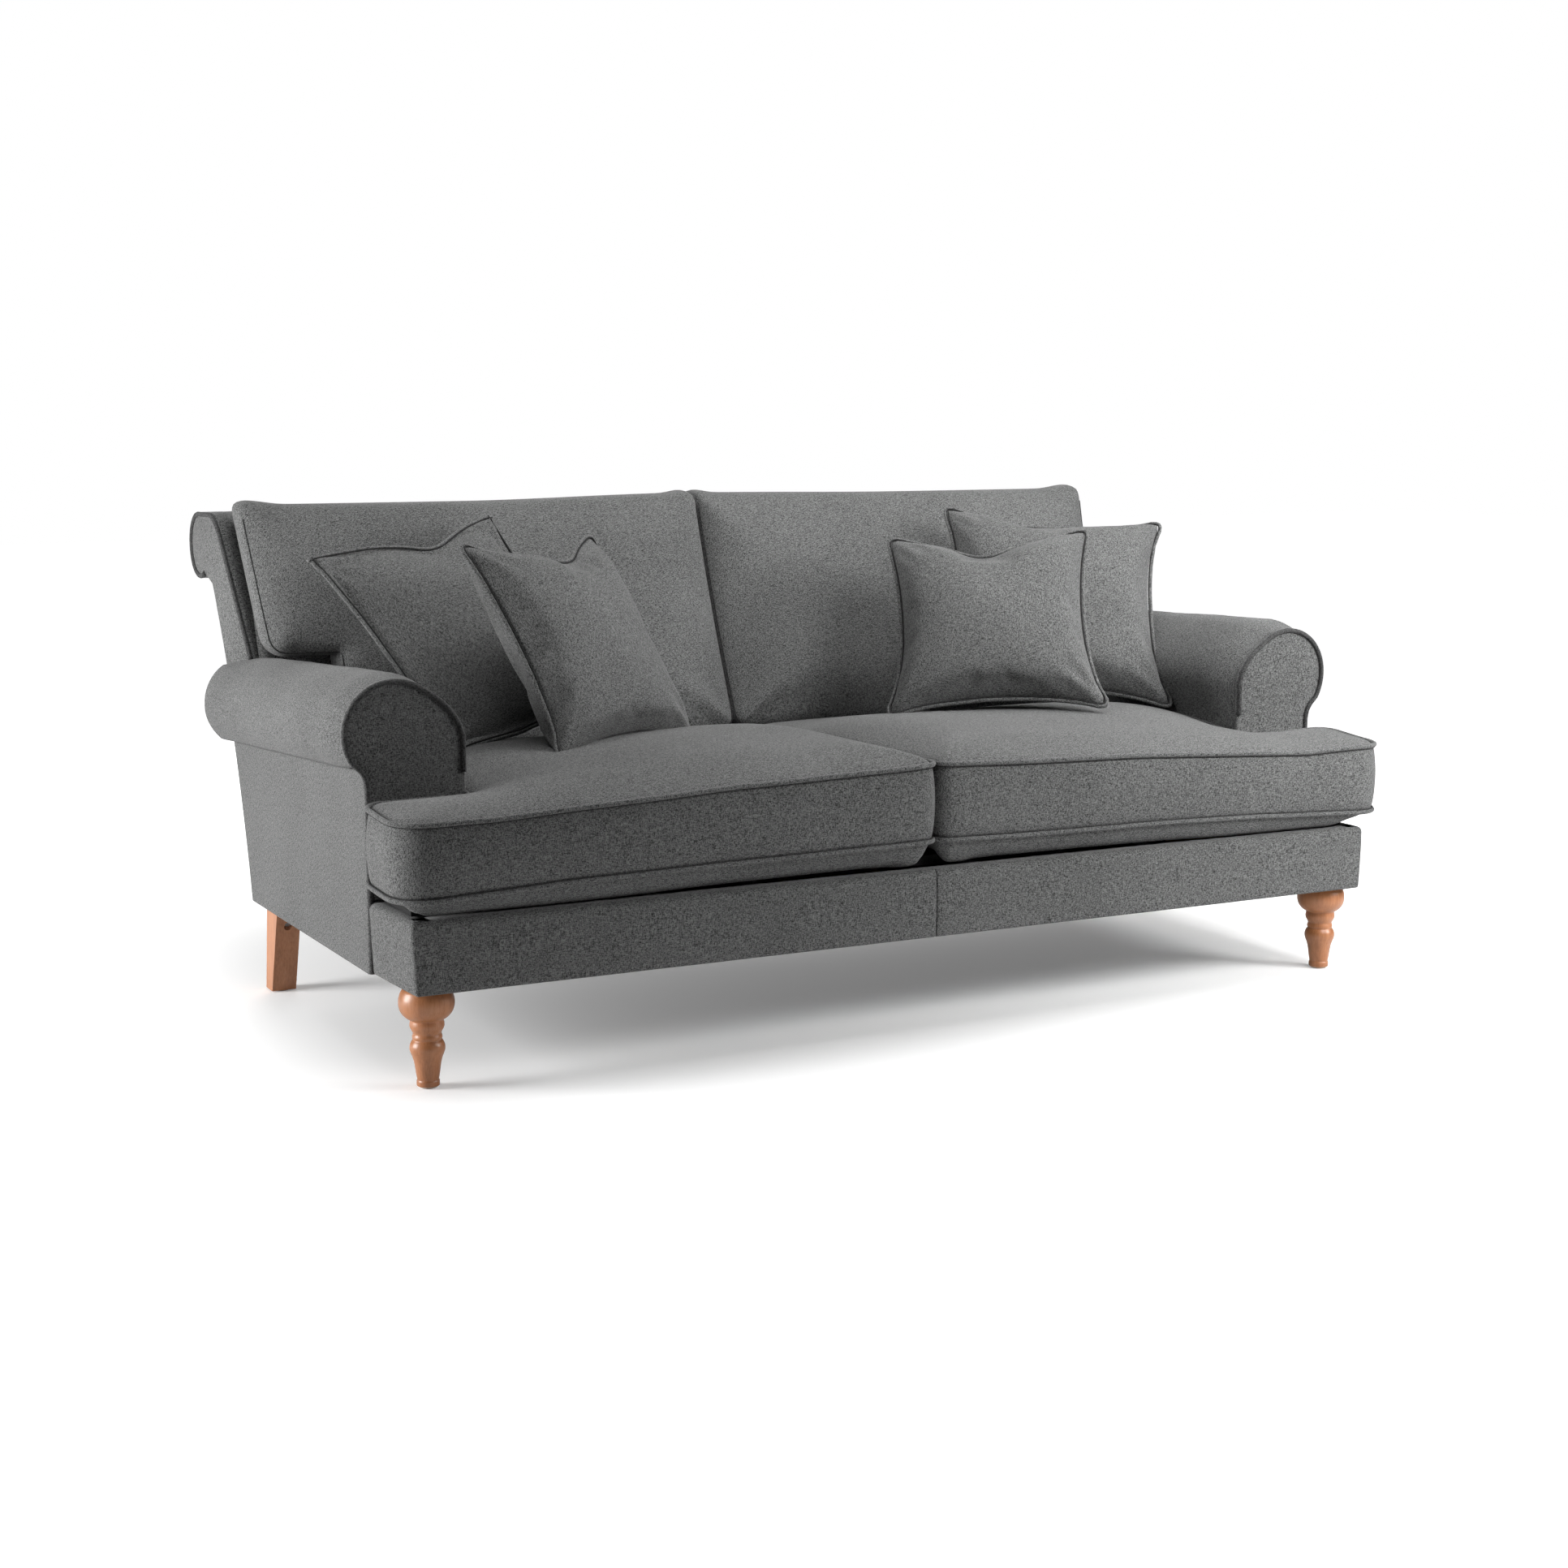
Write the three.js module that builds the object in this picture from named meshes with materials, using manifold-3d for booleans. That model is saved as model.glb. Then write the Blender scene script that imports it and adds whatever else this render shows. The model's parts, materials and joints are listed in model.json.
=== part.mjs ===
// Two-seat sofa with scroll arms and wooden legs, in millimetres, +Z up, +X to the sitter's left hand.
// Sub-parts are drawn with y measured from the front of the base and z from the floor; the finished
// group is then centred on its own footprint.
import * as THREE from "three";
import { mergeVertices } from "three/addons/utils/BufferGeometryUtils.js";
import Module from "manifold-3d";

const wasm = await Module();
wasm.setup();

// ---- Driving dimensions -------------------------------------------------------------------------
const GAP = 0.3;                 // clearance left between pieces that touch
const BASE_BOTTOM = 162;         // underside of the upholstered base, which is also the leg height
const BASE_TOP = 280;
const BASE_HALF_WIDTH = 936;
const BASE_REAR_WIDTH = 946;     // the sides of the base spread to meet the arm panels
const SKIN = 8;                  // padded fabric skin on flat panels
const ARM_FRONT = 184;           // front plane of the arms, behind the front of the base
const ARM_OUTER = 950;           // outer face of the arm panels
const ARM_INNER = 780;           // inner face of the arms
const ARM_PAD = 22;
const ARM_OVERHANG = 42;         // the scroll of the arm runs on past the outside back
const ARM_SLOPE = 0.055;         // fall of the arm per millimetre towards the back
const ROLL = { x: 898, z: 548, r: 88 };        // scroll of the arm, seen from the front
const ARM_PUFF = 9;              // the padded arm stands this proud of its facing
const ROLL_START = -36;                        // degrees, where the scroll tucks under
const ROLL_END = 125;
const SCROLL = { y: 1150, z: 802, r: 63 };     // scroll along the top of the back, seen from the side
const SCROLL_TUCK = -120;
const BACK_TOP = 866;
const BACK_RAKE = 0.404;         // tangent of the rake of the inside back
const BACK_PAD = 25;
const BACK_FACING_INNER = 905;   // the end panels of the back start here
const RAIL_BOTTOM = 168;
const RAIL_TOP = 262;
const RAIL = 28;                 // thickness of the sawn rails
const FRAME_HALF_WIDTH = 928;
const POST_X = 886;
const POST_DEPTH = 34;
const BACK_LOWER_RAIL = [[884, 901], [330, 372]];   // front to back, bottom to top
const DECK_TOP = 296;
const DECK_REAR = 808;
const CUSHION_FRONT = -3;
const CUSHION_BORDER = [314.5, 463];           // heights of the two piped seams
const CUSHION_CROWN = 15;
const CUSHION_DROOP = 34;        // the ear sinks this far at its front corner
const EAR_LEFT = 957;            // the loose seat cushions reach past the base in front of the arms
const EAR_RIGHT = 988;
const BACK_CUSHION = { bottom: 479, top: 884, front: 752, thickness: 122 };
const BACK_CUSHION_LEFT = 922;
const BACK_CUSHION_RIGHT = 936;
const PIPING = 5;

// ---- Materials ----------------------------------------------------------------------------------
const finish = (color, roughness, metalness = 0) =>
  new THREE.MeshStandardMaterial({ color, roughness, metalness });
const FABRIC = () => finish(0x6b6e6e, 0.95);
const TIMBER = () => finish(0xc9a36b, 0.8);
const PLYWOOD = () => finish(0xd2b27f, 0.85);
const BEECH = () => finish(0xbe8656, 0.4);
const STEEL = () => finish(0x9a9c9e, 0.35, 1);
const WEBBING = () => finish(0x2c2a28, 0.9);
const PLATFORM_CLOTH = () => finish(0x2a2b2b, 0.95);
const NYLON = () => finish(0xd9d6cf, 0.5);

// ---- Geometry helpers ---------------------------------------------------------------------------
const rad = THREE.MathUtils.degToRad;

function transformed(geometry, rows) {
  return geometry.applyMatrix4(new THREE.Matrix4().set(...rows));
}

function extruded(shape, depth, options) {
  return new THREE.ExtrudeGeometry(shape, { depth, bevelEnabled: false, curveSegments: 8, ...options });
}

// A drawing in (x, z) given depth from y0 back to y1.
function alongY(shape, y0, y1, options = {}) {
  return transformed(extruded(shape, y1 - y0, options), [1, 0, 0, 0, 0, 0, -1, y1, 0, 1, 0, 0, 0, 0, 0, 1]);
}

// A drawing in (y, z) given width from x0 to x1.
function alongX(shape, x0, x1, options = {}) {
  return transformed(extruded(shape, x1 - x0, options), [0, 0, 1, x0, 1, 0, 0, 0, 0, 1, 0, 0, 0, 0, 0, 1]);
}

// A plan in (x, y) given height from z0 to z1.
function alongZ(shape, z0, z1, options = {}) {
  return extruded(shape, z1 - z0, options).translate(0, 0, z0);
}

function box([x0, x1], [y0, y1], [z0, z1]) {
  return new THREE.BoxGeometry(x1 - x0, y1 - y0, z1 - z0)
    .translate((x0 + x1) / 2, (y0 + y1) / 2, (z0 + z1) / 2);
}

// Spans made larger by the clearance between pieces.
const grown = (spans) => spans.map(([from, to]) => [from - GAP, to + GAP]);

function polygon(points) {
  return new THREE.Shape(points.map(([u, v]) => new THREE.Vector2(u, v)));
}

// Points of a circular arc, in degrees.
function arc({ u, v, r }, from, to, steps) {
  return Array.from({ length: steps + 1 }, (_, i) => {
    const a = rad(from + ((to - from) * i) / steps);
    return [u + r * Math.cos(a), v + r * Math.sin(a)];
  });
}

// Points of a quadratic curve, without its first point.
function bend(from, control, to, steps) {
  return Array.from({ length: steps }, (_, i) => {
    const t = (i + 1) / steps;
    const blend = (k) => (1 - t) ** 2 * from[k] + 2 * t * (1 - t) * control[k] + t * t * to[k];
    return [blend(0), blend(1)];
  });
}

function range(from, to, steps) {
  return Array.from({ length: steps + 1 }, (_, i) => from + ((to - from) * i) / steps);
}

// Moves every vertex with a function of its place.
function warped(geometry, move) {
  const p = geometry.attributes.position;
  const at = new THREE.Vector3();
  for (let i = 0; i < p.count; i++) {
    at.fromBufferAttribute(p, i);
    move(at);
    p.setXYZ(i, at.x, at.y, at.z);
  }
  return geometry;
}

function positionsOnly(geometry) {
  const g = geometry.clone();
  g.deleteAttribute("normal");
  g.deleteAttribute("uv");
  return mergeVertices(g, 1e-3);
}

function toSolid(geometry) {
  const g = positionsOnly(geometry);
  return new wasm.Manifold(new wasm.Mesh({
    numProp: 3,
    vertProperties: new Float32Array(g.attributes.position.array),
    triVerts: new Uint32Array(g.index.array),
  }));
}

function fromSolid(solid) {
  const mesh = solid.getMesh();
  const g = new THREE.BufferGeometry();
  g.setAttribute("position", new THREE.BufferAttribute(new Float32Array(mesh.vertProperties), 3));
  g.setIndex(new THREE.BufferAttribute(new Uint32Array(mesh.triVerts), 1));
  return g;
}

function cut(geometry, ...tools) {
  return fromSolid(tools.reduce((solid, tool) => solid.subtract(toSolid(tool)), toSolid(geometry)));
}

// The same piece on the other side of the sofa, with its faces still pointing out.
function mirrored(geometry) {
  const g = positionsOnly(geometry);
  warped(g, (at) => { at.x = -at.x; });
  const index = g.index.array;
  for (let i = 0; i < index.length; i += 3) [index[i], index[i + 1]] = [index[i + 1], index[i]];
  return g;
}

function join(...pieces) {
  return fromSolid(pieces.map(toSolid).reduce((whole, piece) => whole.add(piece)));
}

const sofa = new THREE.Group();

function add(name, geometry, material) {
  const mesh = new THREE.Mesh(geometry, material());
  mesh.name = name;
  sofa.add(mesh);
}

// The piece is drawn on the +X side, which is "right" here as seen from the front.
function addPair(name, geometry, material) {
  add(`${name}_right`, geometry, material);
  add(`${name}_left`, mirrored(geometry), material);
}

// ---- Outlines -----------------------------------------------------------------------------------
// The outside back sweeps away from the base in a gentle curve.
const rearLine = (z) => 862 + 0.245 * (z - BASE_BOTTOM) + 0.00026 * (z - BASE_BOTTOM) ** 2;
// The inside back is a straight rake.
const insideLine = (z) => 876 + BACK_RAKE * (z - 474);

const rearPoints = (z0, z1, steps, offset = 0) => range(z0, z1, steps).map((z) => [rearLine(z) + offset, z]);

// Front and top of the back, from height z0 to the tuck under the scroll, inset by a pad thickness.
function scrollPoints(z0, inset) {
  const side = inset * 1.08;     // the rake makes a horizontal slice thicker than the pad
  const top = BACK_TOP - inset;
  const shoulderHeight = 830 - inset * 0.4;
  const shoulder = [insideLine(shoulderHeight) + side, shoulderHeight];
  return [
    [insideLine(z0) + side, z0],
    shoulder,
    ...bend(shoulder, [shoulder[0] + 14, top], [1078 + inset * 0.3, top], 3),
    ...arc({ u: SCROLL.y, v: SCROLL.z, r: SCROLL.r - inset }, 90, SCROLL_TUCK, 12),
  ];
}

// The arm seen from the front: from the tuck under the scroll, over it and down the inner face to z0.
function armPoints(z0, inset, puff = 0) {
  const r = ROLL.r - inset + puff;
  const over = arc({ u: ROLL.x, v: ROLL.z, r }, ROLL_START, ROLL_END, 12);
  const last = over[over.length - 1];
  const inner = ARM_INNER + inset;
  const shoulder = [inner, 537];
  return [...over, ...bend(last, [inner + 8, 585 - inset * 0.6], shoulder, 4), [inner, z0]];
}

// ---- Timber frame -------------------------------------------------------------------------------
// A back post seen from the side, or the slot that clears it all round.
function postShape(clearance = 0) {
  const zs = range(RAIL_TOP + GAP, 722, 6);
  const rear = zs.map((z) => [rearLine(z) - 17 + clearance, z]);
  const front = zs.map((z) => [rearLine(z) - 17 - POST_DEPTH - clearance, z]).reverse();
  const head = arc({ u: SCROLL.y, v: SCROLL.z, r: SCROLL.r - BACK_PAD - 1.5 }, SCROLL_TUCK, 90, 10);
  return polygon([...rear, ...head, [1078, 838], [1052, 812], ...front]);
}

function buildFrame() {
  const railHeight = [RAIL_BOTTOM, RAIL_TOP];
  const frontRail = [SKIN, SKIN + RAIL];
  const rearRail = [826, 826 + RAIL];
  const sideRail = [FRAME_HALF_WIDTH - RAIL, FRAME_HALF_WIDTH];
  add("front_rail", box([-FRAME_HALF_WIDTH, FRAME_HALF_WIDTH], frontRail, railHeight), TIMBER);
  add("rear_rail", box([-sideRail[0] + GAP, sideRail[0] - GAP], rearRail, railHeight), TIMBER);
  addPair("side_rail", box(sideRail, [frontRail[1] + GAP, rearRail[1]], railHeight), TIMBER);
  const centre = box([-RAIL / 2, RAIL / 2], [frontRail[1] + GAP, rearRail[0] - GAP], [RAIL_BOTTOM, 240]);
  add("centre_rail", centre, TIMBER);

  // Glued blocks brace the four corners; the front pair take the leg plates.
  const leg = 95;
  const [x0, blockHeight] = [sideRail[0] - GAP, [RAIL_BOTTOM + 1, RAIL_TOP - 12]];
  const block = (y, dy) => {
    const far = y + dy * leg;
    const plan = [[x0, y], [x0, far], [x0 - 30, far], [x0 - leg, y + dy * 30], [x0 - leg, y]];
    return alongZ(polygon(dy > 0 ? plan : plan.reverse()), ...blockHeight);
  };
  addPair("front_corner_block", block(frontRail[1] + GAP, 1), TIMBER);
  addPair("back_corner_block", block(rearRail[0] - GAP, -1), TIMBER);

  // Long rails of the back are halved into the centre post and butt against the end posts.
  const end = POST_X - RAIL / 2 - GAP;
  const top = [[1070, 1092], [754, 822]];
  const scroll = (r, x) => alongX(polygon(arc({ u: SCROLL.y, v: SCROLL.z, r }, 80, -80, 8)), -x, x);
  const scrollRadius = SCROLL.r - BACK_PAD - 3;
  add("back_lower_rail", box([-end, end], ...BACK_LOWER_RAIL), TIMBER);
  add("back_top_rail", box([-end, end], ...top), TIMBER);
  add("scroll_rail", scroll(scrollRadius, end), TIMBER);
  const post = (x) => alongX(postShape(), x - RAIL / 2, x + RAIL / 2);
  addPair("back_post", post(POST_X), PLYWOOD);
  const slots = [grown(BACK_LOWER_RAIL), grown(top), [[SCROLL.y - 8, SCROLL.y + 80], [700, 900]]];
  add("back_post_centre", cut(post(0), ...slots.map((slot) => box([-20, 20], ...slot))), PLYWOOD);
}

// ---- Arms ---------------------------------------------------------------------------------------
const slopeDown = (at) => { at.z -= ARM_SLOPE * (at.y - ARM_FRONT - SKIN); };

// The whole arm as one filled body, grown a little, used to trim the back where it meets the arm.
function armEnvelope() {
  const outline = polygon([[ARM_OUTER + 1, 100], ...armPoints(100, -0.5, ARM_PUFF)]);
  return warped(alongY(outline, ARM_FRONT + SKIN, 1300), slopeDown);
}

// Everything behind the outside back, moved back by an offset, between two widths.
function behindBack(offset, x0, x1) {
  return alongX(polygon([[1500, 100], [1500, 800], ...rearPoints(100, 800, 10, offset).reverse()]), x0, x1);
}

function buildArms() {
  const boardFront = ARM_FRONT + SKIN;
  const boardInset = ARM_PAD + 2;
  const board = polygon([
    [FRAME_HALF_WIDTH + 8, RAIL_TOP + 2], [FRAME_HALF_WIDTH + 8, 484],
    ...armPoints(RAIL_TOP + 2, boardInset)]);
  addPair("arm_front_board", alongY(board, boardFront, boardFront + 17.7), PLYWOOD);

  const topRail = box([862, 932], [boardFront + 18, 925], [570, 598]);
  addPair("arm_top_rail", warped(topRail, slopeDown), TIMBER);
  addPair("arm_lower_rail", box([804.5, 832], [boardFront + 18, 815], [285, 325]), TIMBER);

  // The padded cover starts under the scroll, goes over it and down the inner face.
  const shell = polygon([...armPoints(300, 0, ARM_PUFF), ...armPoints(300, ARM_PAD).reverse()]);
  const postSlot = alongX(postShape(0.5), POST_X - RAIL / 2 - 0.5, POST_X + RAIL / 2 + 0.5);
  const railSlot = box([700, 900], ...grown(BACK_LOWER_RAIL));
  const pad = cut(
    warped(alongY(shell, boardFront, 1060), slopeDown),
    behindBack(-SKIN - 0.4, 700, FRAME_HALF_WIDTH + 14), behindBack(ARM_OVERHANG, 940, 1100),
    postSlot, railSlot);
  addPair("arm_scroll_pad", pad, FABRIC);

  const seam = 490;
  const rearTop = seam - ARM_SLOPE * 755;
  const panel = polygon([
    [boardFront, BASE_BOTTOM], ...rearPoints(BASE_BOTTOM, rearTop, 6), [boardFront, seam]]);
  addPair("arm_outer_cover", alongX(panel, ARM_OUTER - SKIN, ARM_OUTER), FABRIC);

  // The facing shows its whole outline; only a strip of it goes down beside the base.
  const neck = [ARM_OUTER, 484];
  const facing = polygon([
    [ARM_OUTER, BASE_BOTTOM], neck, ...armPoints(RAIL_TOP + 2, 0),
    [FRAME_HALF_WIDTH + 1, RAIL_TOP + 2], [FRAME_HALF_WIDTH + 1, BASE_BOTTOM]]);
  addPair("arm_facing", join(alongY(facing, ARM_FRONT, boardFront - GAP), armPiping()), FABRIC);
}

function tube(points, radius, steps) {
  const path = new THREE.CatmullRomCurve3(points.map((p) => new THREE.Vector3(...p)), false, "centripetal");
  const section = polygon(arc({ u: 0, v: 0, r: radius }, 0, 300, 5));
  return new THREE.ExtrudeGeometry(section, { steps, extrudePath: path, bevelEnabled: false });
}

function armPiping() {
  const y = ARM_FRONT - 1;
  const outline = [[ARM_OUTER - PIPING, BASE_TOP + 5], [ARM_OUTER - PIPING, 360], [ARM_OUTER - PIPING, 470],
    ...armPoints(480, PIPING)];
  return tube(outline.map(([x, z]) => [x, y, z]), PIPING, 44);
}

// ---- Back ---------------------------------------------------------------------------------------
// The end panels of the back turn in towards their front edge, more so just above the arms.
function facingInset(y, z) {
  const depth = THREE.MathUtils.clamp((rearLine(z) - y) / (rearLine(z) - insideLine(z)), 0, 1);
  const height = THREE.MathUtils.clamp((BACK_TOP - z) / (BACK_TOP - 600), 0, 1);
  return 33 * depth * height;
}

function buildBack() {
  const arms = [armEnvelope(), mirrored(armEnvelope())];
  const outer = scrollPoints(DECK_TOP + 1, 0);
  const inner = scrollPoints(DECK_TOP + 1, BACK_PAD).reverse();
  const padEnd = BACK_FACING_INNER - GAP;
  add("inside_back_pad", cut(alongX(polygon([...outer, ...inner]), -padEnd, padEnd), ...arms), FABRIC);

  const cover = polygon([
    ...rearPoints(BASE_BOTTOM, 728, 9), ...rearPoints(BASE_BOTTOM, 728, 9, -SKIN).reverse()]);
  const coverEnd = ARM_OUTER - SKIN - 0.4;
  add("outside_back_cover", alongX(cover, -coverEnd, coverEnd), FABRIC);

  const ends = polygon([
    ...scrollPoints(520, 0), [rearLine(731) - SKIN - 0.4, 731],
    ...rearPoints(520, 720, 5, -SKIN - 0.4).reverse()]);
  const panel = warped(alongX(ends, BACK_FACING_INNER, ARM_OUTER), (at) => {
    if (at.x > ARM_OUTER - 1) at.x -= facingInset(at.y, at.z);
  });
  const edge = scrollPoints(610, PIPING).map(([y, z]) => [ARM_OUTER + 1 - facingInset(y, z), y, z]);
  addPair("back_facing", join(cut(panel, armEnvelope()), tube(edge, PIPING, 36)), FABRIC);
}

// ---- Seat suspension, webbing and linings --------------------------------------------------------
const SPRING_RISE = 6;
const SPRING_X = [-690, -500, -310, -120, 120, 310, 500, 690];

// A serpentine spring: a flat zigzag of wire, arched upwards between the rails.
function spring(x) {
  const [y0, y1] = [22, 840];
  const wire = 4;
  const loops = 15;
  const side = (offset) => range(0, loops, loops).map((i) => [
    (i % 2 ? 22 : -22) + offset * 0.5, y0 + ((y1 - y0) * i) / loops + offset * (i % 2 ? 0.5 : -0.5)]);
  const ribbon = polygon([...side(wire), ...side(-wire).reverse()]);
  return warped(alongZ(ribbon, RAIL_TOP + 2, RAIL_TOP + 2 + wire),
    (at) => { at.z += SPRING_RISE * Math.sin(Math.PI * (at.y - y0) / (y1 - y0)); }).translate(x, 0, 0);
}

function buildLinings() {
  // Tie wires across the middle link the springs into one mat.
  const reach = SPRING_X[SPRING_X.length - 1] + 24;
  const ties = [300, 560].map((y) => box([-reach, reach], [y, y + 3], [RAIL_TOP + 6, RAIL_TOP + 12]));
  add("seat_springs", join(...SPRING_X.map(spring), ...ties), STEEL);

  // Elastic webbing, straps up and across, lies against the back of the inside pad.
  const [face, thickness] = [30, 1.6];
  const strap = ([z0, z1], from, to) => alongX(polygon([
    [insideLine(z0) + face, z0], [insideLine(z0) + face + thickness, z0],
    [insideLine(z1) + face + thickness, z1], [insideLine(z1) + face, z1]]), from, to);
  const upright = range(90, 720, 4).flatMap((x) => [x, -x]).map((x) => strap([402, 742], x - 25, x + 25));
  const across = [470, 580, 690].map((z) => strap([z - 22, z + 22], -770, 770));
  add("back_webbing", join(...upright, ...across), WEBBING);

  const [wide, narrow] = [925, 778];
  const plan = polygon([[-wide, 48], [wide, 48], [wide, ARM_FRONT - 1], [narrow, ARM_FRONT - 1],
    [narrow, DECK_REAR], [-narrow, DECK_REAR], [-narrow, ARM_FRONT - 1], [-wide, ARM_FRONT - 1]]);
  add("seat_deck", alongZ(plan, BASE_TOP + 0.4, DECK_TOP), PLATFORM_CLOTH);

  const [x, notchX, y0, notchFront, notchRear, y1] = [922, 862, 26, 98, 742, 853];
  const edge = [[notchX, y0], [notchX, notchFront], [x, notchFront], [x, notchRear], [notchX + 20, notchRear],
    [notchX + 20, y1]];
  const cloth = polygon([...edge, ...edge.map(([u, v]) => [-u, v]).reverse()]);
  add("dust_cover", alongZ(cloth, RAIL_BOTTOM - 2, RAIL_BOTTOM - GAP), PLATFORM_CLOTH);
}

// ---- Base covers --------------------------------------------------------------------------------
// Each half wraps the front rail and turns the corner back to the arm; they meet at a centre seam.
function buildBaseCovers() {
  const rear = ARM_FRONT - 0.5;
  const seam = 0.2;
  const plan = (x, inset) => polygon([
    [x, inset], [BASE_HALF_WIDTH - inset, inset], [BASE_REAR_WIDTH - inset, rear],
    ...(inset ? [[BASE_REAR_WIDTH - inset, rear + 10], [x, rear + 10]] : [[x, rear]])]);
  const half = cut(
    alongZ(plan(seam, 0), BASE_BOTTOM, BASE_TOP),
    alongZ(plan(-10, 6), BASE_BOTTOM + 4, BASE_TOP - 6),
    box([-10, BASE_HALF_WIDTH - 6], [60, rear + 10], [BASE_TOP - 10, BASE_TOP + 10]),
    box([-10, BASE_HALF_WIDTH - 12], [24, rear + 10], [BASE_BOTTOM - 10, BASE_BOTTOM + 10]));
  addPair("base_front_cover", half, FABRIC);
}

// ---- Legs and fixings ---------------------------------------------------------------------------
const FRONT_LEG = { x: 897.5, y: 64 };
const GLIDE = 2.5;

// Radius and height of each turned feature, from the foot up.
const TURNING = [
  [16.5, GLIDE], [18.4, 5], [18.4, 12], [17.2, 13], [17.9, 16], [20.9, 38], [23.6, 49.5], [27.4, 59],
  [28.2, 66], [26, 74], [22.8, 78], [23.6, 80.5], [23.4, 85], [22.4, 88.5], [25, 93.5], [27.6, 100],
  [26.8, 107], [26.5, 110.5], [32.5, 113.5], [38.5, 119], [43, 127], [44.6, 137], [44, 145],
  [41.5, 153], [37, BASE_BOTTOM - GAP],
];

function buildLegs() {
  const bore = [[0, 115], [4.4, 115], [4.4, BASE_BOTTOM - GAP]];
  const profile = [[0, GLIDE], ...TURNING, ...bore.reverse()].map(([r, z]) => new THREE.Vector2(r, z));
  const turned = new THREE.LatheGeometry(profile, 28).rotateX(Math.PI / 2);
  addPair("front_leg", turned.translate(FRONT_LEG.x, FRONT_LEG.y, 0), BEECH);

  // The back legs are sawn: the front face rakes more than the rear, so the leg widens upwards.
  const [x0, x1] = [892.7, 937.3];
  const top = RAIL_BOTTOM - 2 - GAP;
  const side = polygon([[796, GLIDE], [834.5, GLIDE], [812, top], [747, top]]);
  const screwAt = new THREE.Vector3((x0 + x1) / 2, 757, 128);
  const bored = (radius, length) => new THREE.CylinderGeometry(radius, radius, length, 12)
    .translate(0, length / 2, 0).rotateX(rad(42)).translate(screwAt.x, screwAt.y, screwAt.z);
  const along = (distance) => [distance * Math.cos(rad(42)), distance * Math.sin(rad(42))];
  const shift = (geometry, distance) => {
    const [dy, dz] = along(distance);
    return geometry.translate(0, dy, dz);
  };
  const leg = cut(alongX(side, x0, x1), shift(bored(7.5, 27), -15), shift(bored(3.4, 80), 0));
  addPair("back_leg", leg, BEECH);

  addPair("back_leg_screw", shift(bored(6.5, 5), 6), STEEL);

  const { x, y } = FRONT_LEG;
  const plate = cut(box([x - 28, x + 26], [y - 28, y + 28], [BASE_BOTTOM + GAP, RAIL_BOTTOM - GAP]),
    new THREE.CylinderGeometry(4.4, 4.4, 30, 16).rotateX(Math.PI / 2).translate(x, y, BASE_BOTTOM));
  addPair("leg_plate", plate, STEEL);
  const bolt = new THREE.CylinderGeometry(4, 4, 51, 12).rotateX(Math.PI / 2).translate(x, y, 142);
  addPair("hanger_bolt", bolt, STEEL);

  const glide = (gx, gy) => new THREE.CylinderGeometry(14, 14, GLIDE - GAP, 20)
    .rotateX(Math.PI / 2).translate(gx, gy, (GLIDE - GAP) / 2);
  addPair("front_glide", glide(x, y), NYLON);
  addPair("back_glide", glide(915, 815), NYLON);
}

// ---- Loose cushions -----------------------------------------------------------------------------
const CUSHION_GAP = 3;

// Boxed seat cushion with an ear in front of the arm, seen in plan.
function seatCushion(ear) {
  const side = ARM_INNER - 4;
  const corner = 58;
  const rear = 810;
  const plan = polygon([
    [CUSHION_GAP, CUSHION_FRONT],
    ...arc({ u: ear - corner, v: CUSHION_FRONT + corner, r: corner }, -90, 0, 5),
    [ear, ARM_FRONT - 12], [side, ARM_FRONT - 12], [side, rear], [CUSHION_GAP, rear]]);
  const slab = alongZ(plan, CUSHION_BORDER[0], CUSHION_BORDER[1], {
    bevelEnabled: true, bevelThickness: CUSHION_CROWN, bevelSize: 14, bevelOffset: -14, bevelSegments: 2 });
  // The top sinks towards the unsupported front corner of the ear.
  return warped(slab, (at) => {
    const outwards = THREE.MathUtils.clamp(at.x / ear, 0, 1);
    const forwards = THREE.MathUtils.clamp((ARM_FRONT - at.y) / ARM_FRONT, 0, 1);
    if (at.z > 400) at.z -= CUSHION_DROOP * outwards * forwards;
  });
}

// Boxed back cushion with an ear that sits on the arm; it leans along the inside back.
function backCushion(halfWidth) {
  const { bottom, top, front, thickness } = BACK_CUSHION;
  const crown = 20;
  const earBottom = 614;
  const outline = polygon([
    [CUSHION_GAP, bottom], [ARM_INNER - 4, bottom], [ARM_INNER - 4, earBottom], [halfWidth - 26, earBottom],
    [halfWidth, top - 14], [halfWidth - 14, top], [CUSHION_GAP, top]]);
  const slab = alongY(outline, front + crown, front + thickness - crown, {
    bevelEnabled: true, bevelThickness: crown, bevelSize: 16, bevelOffset: -16, bevelSegments: 2 });
  return warped(slab, (at) => { at.y += BACK_RAKE * (at.z - bottom); });
}

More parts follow.
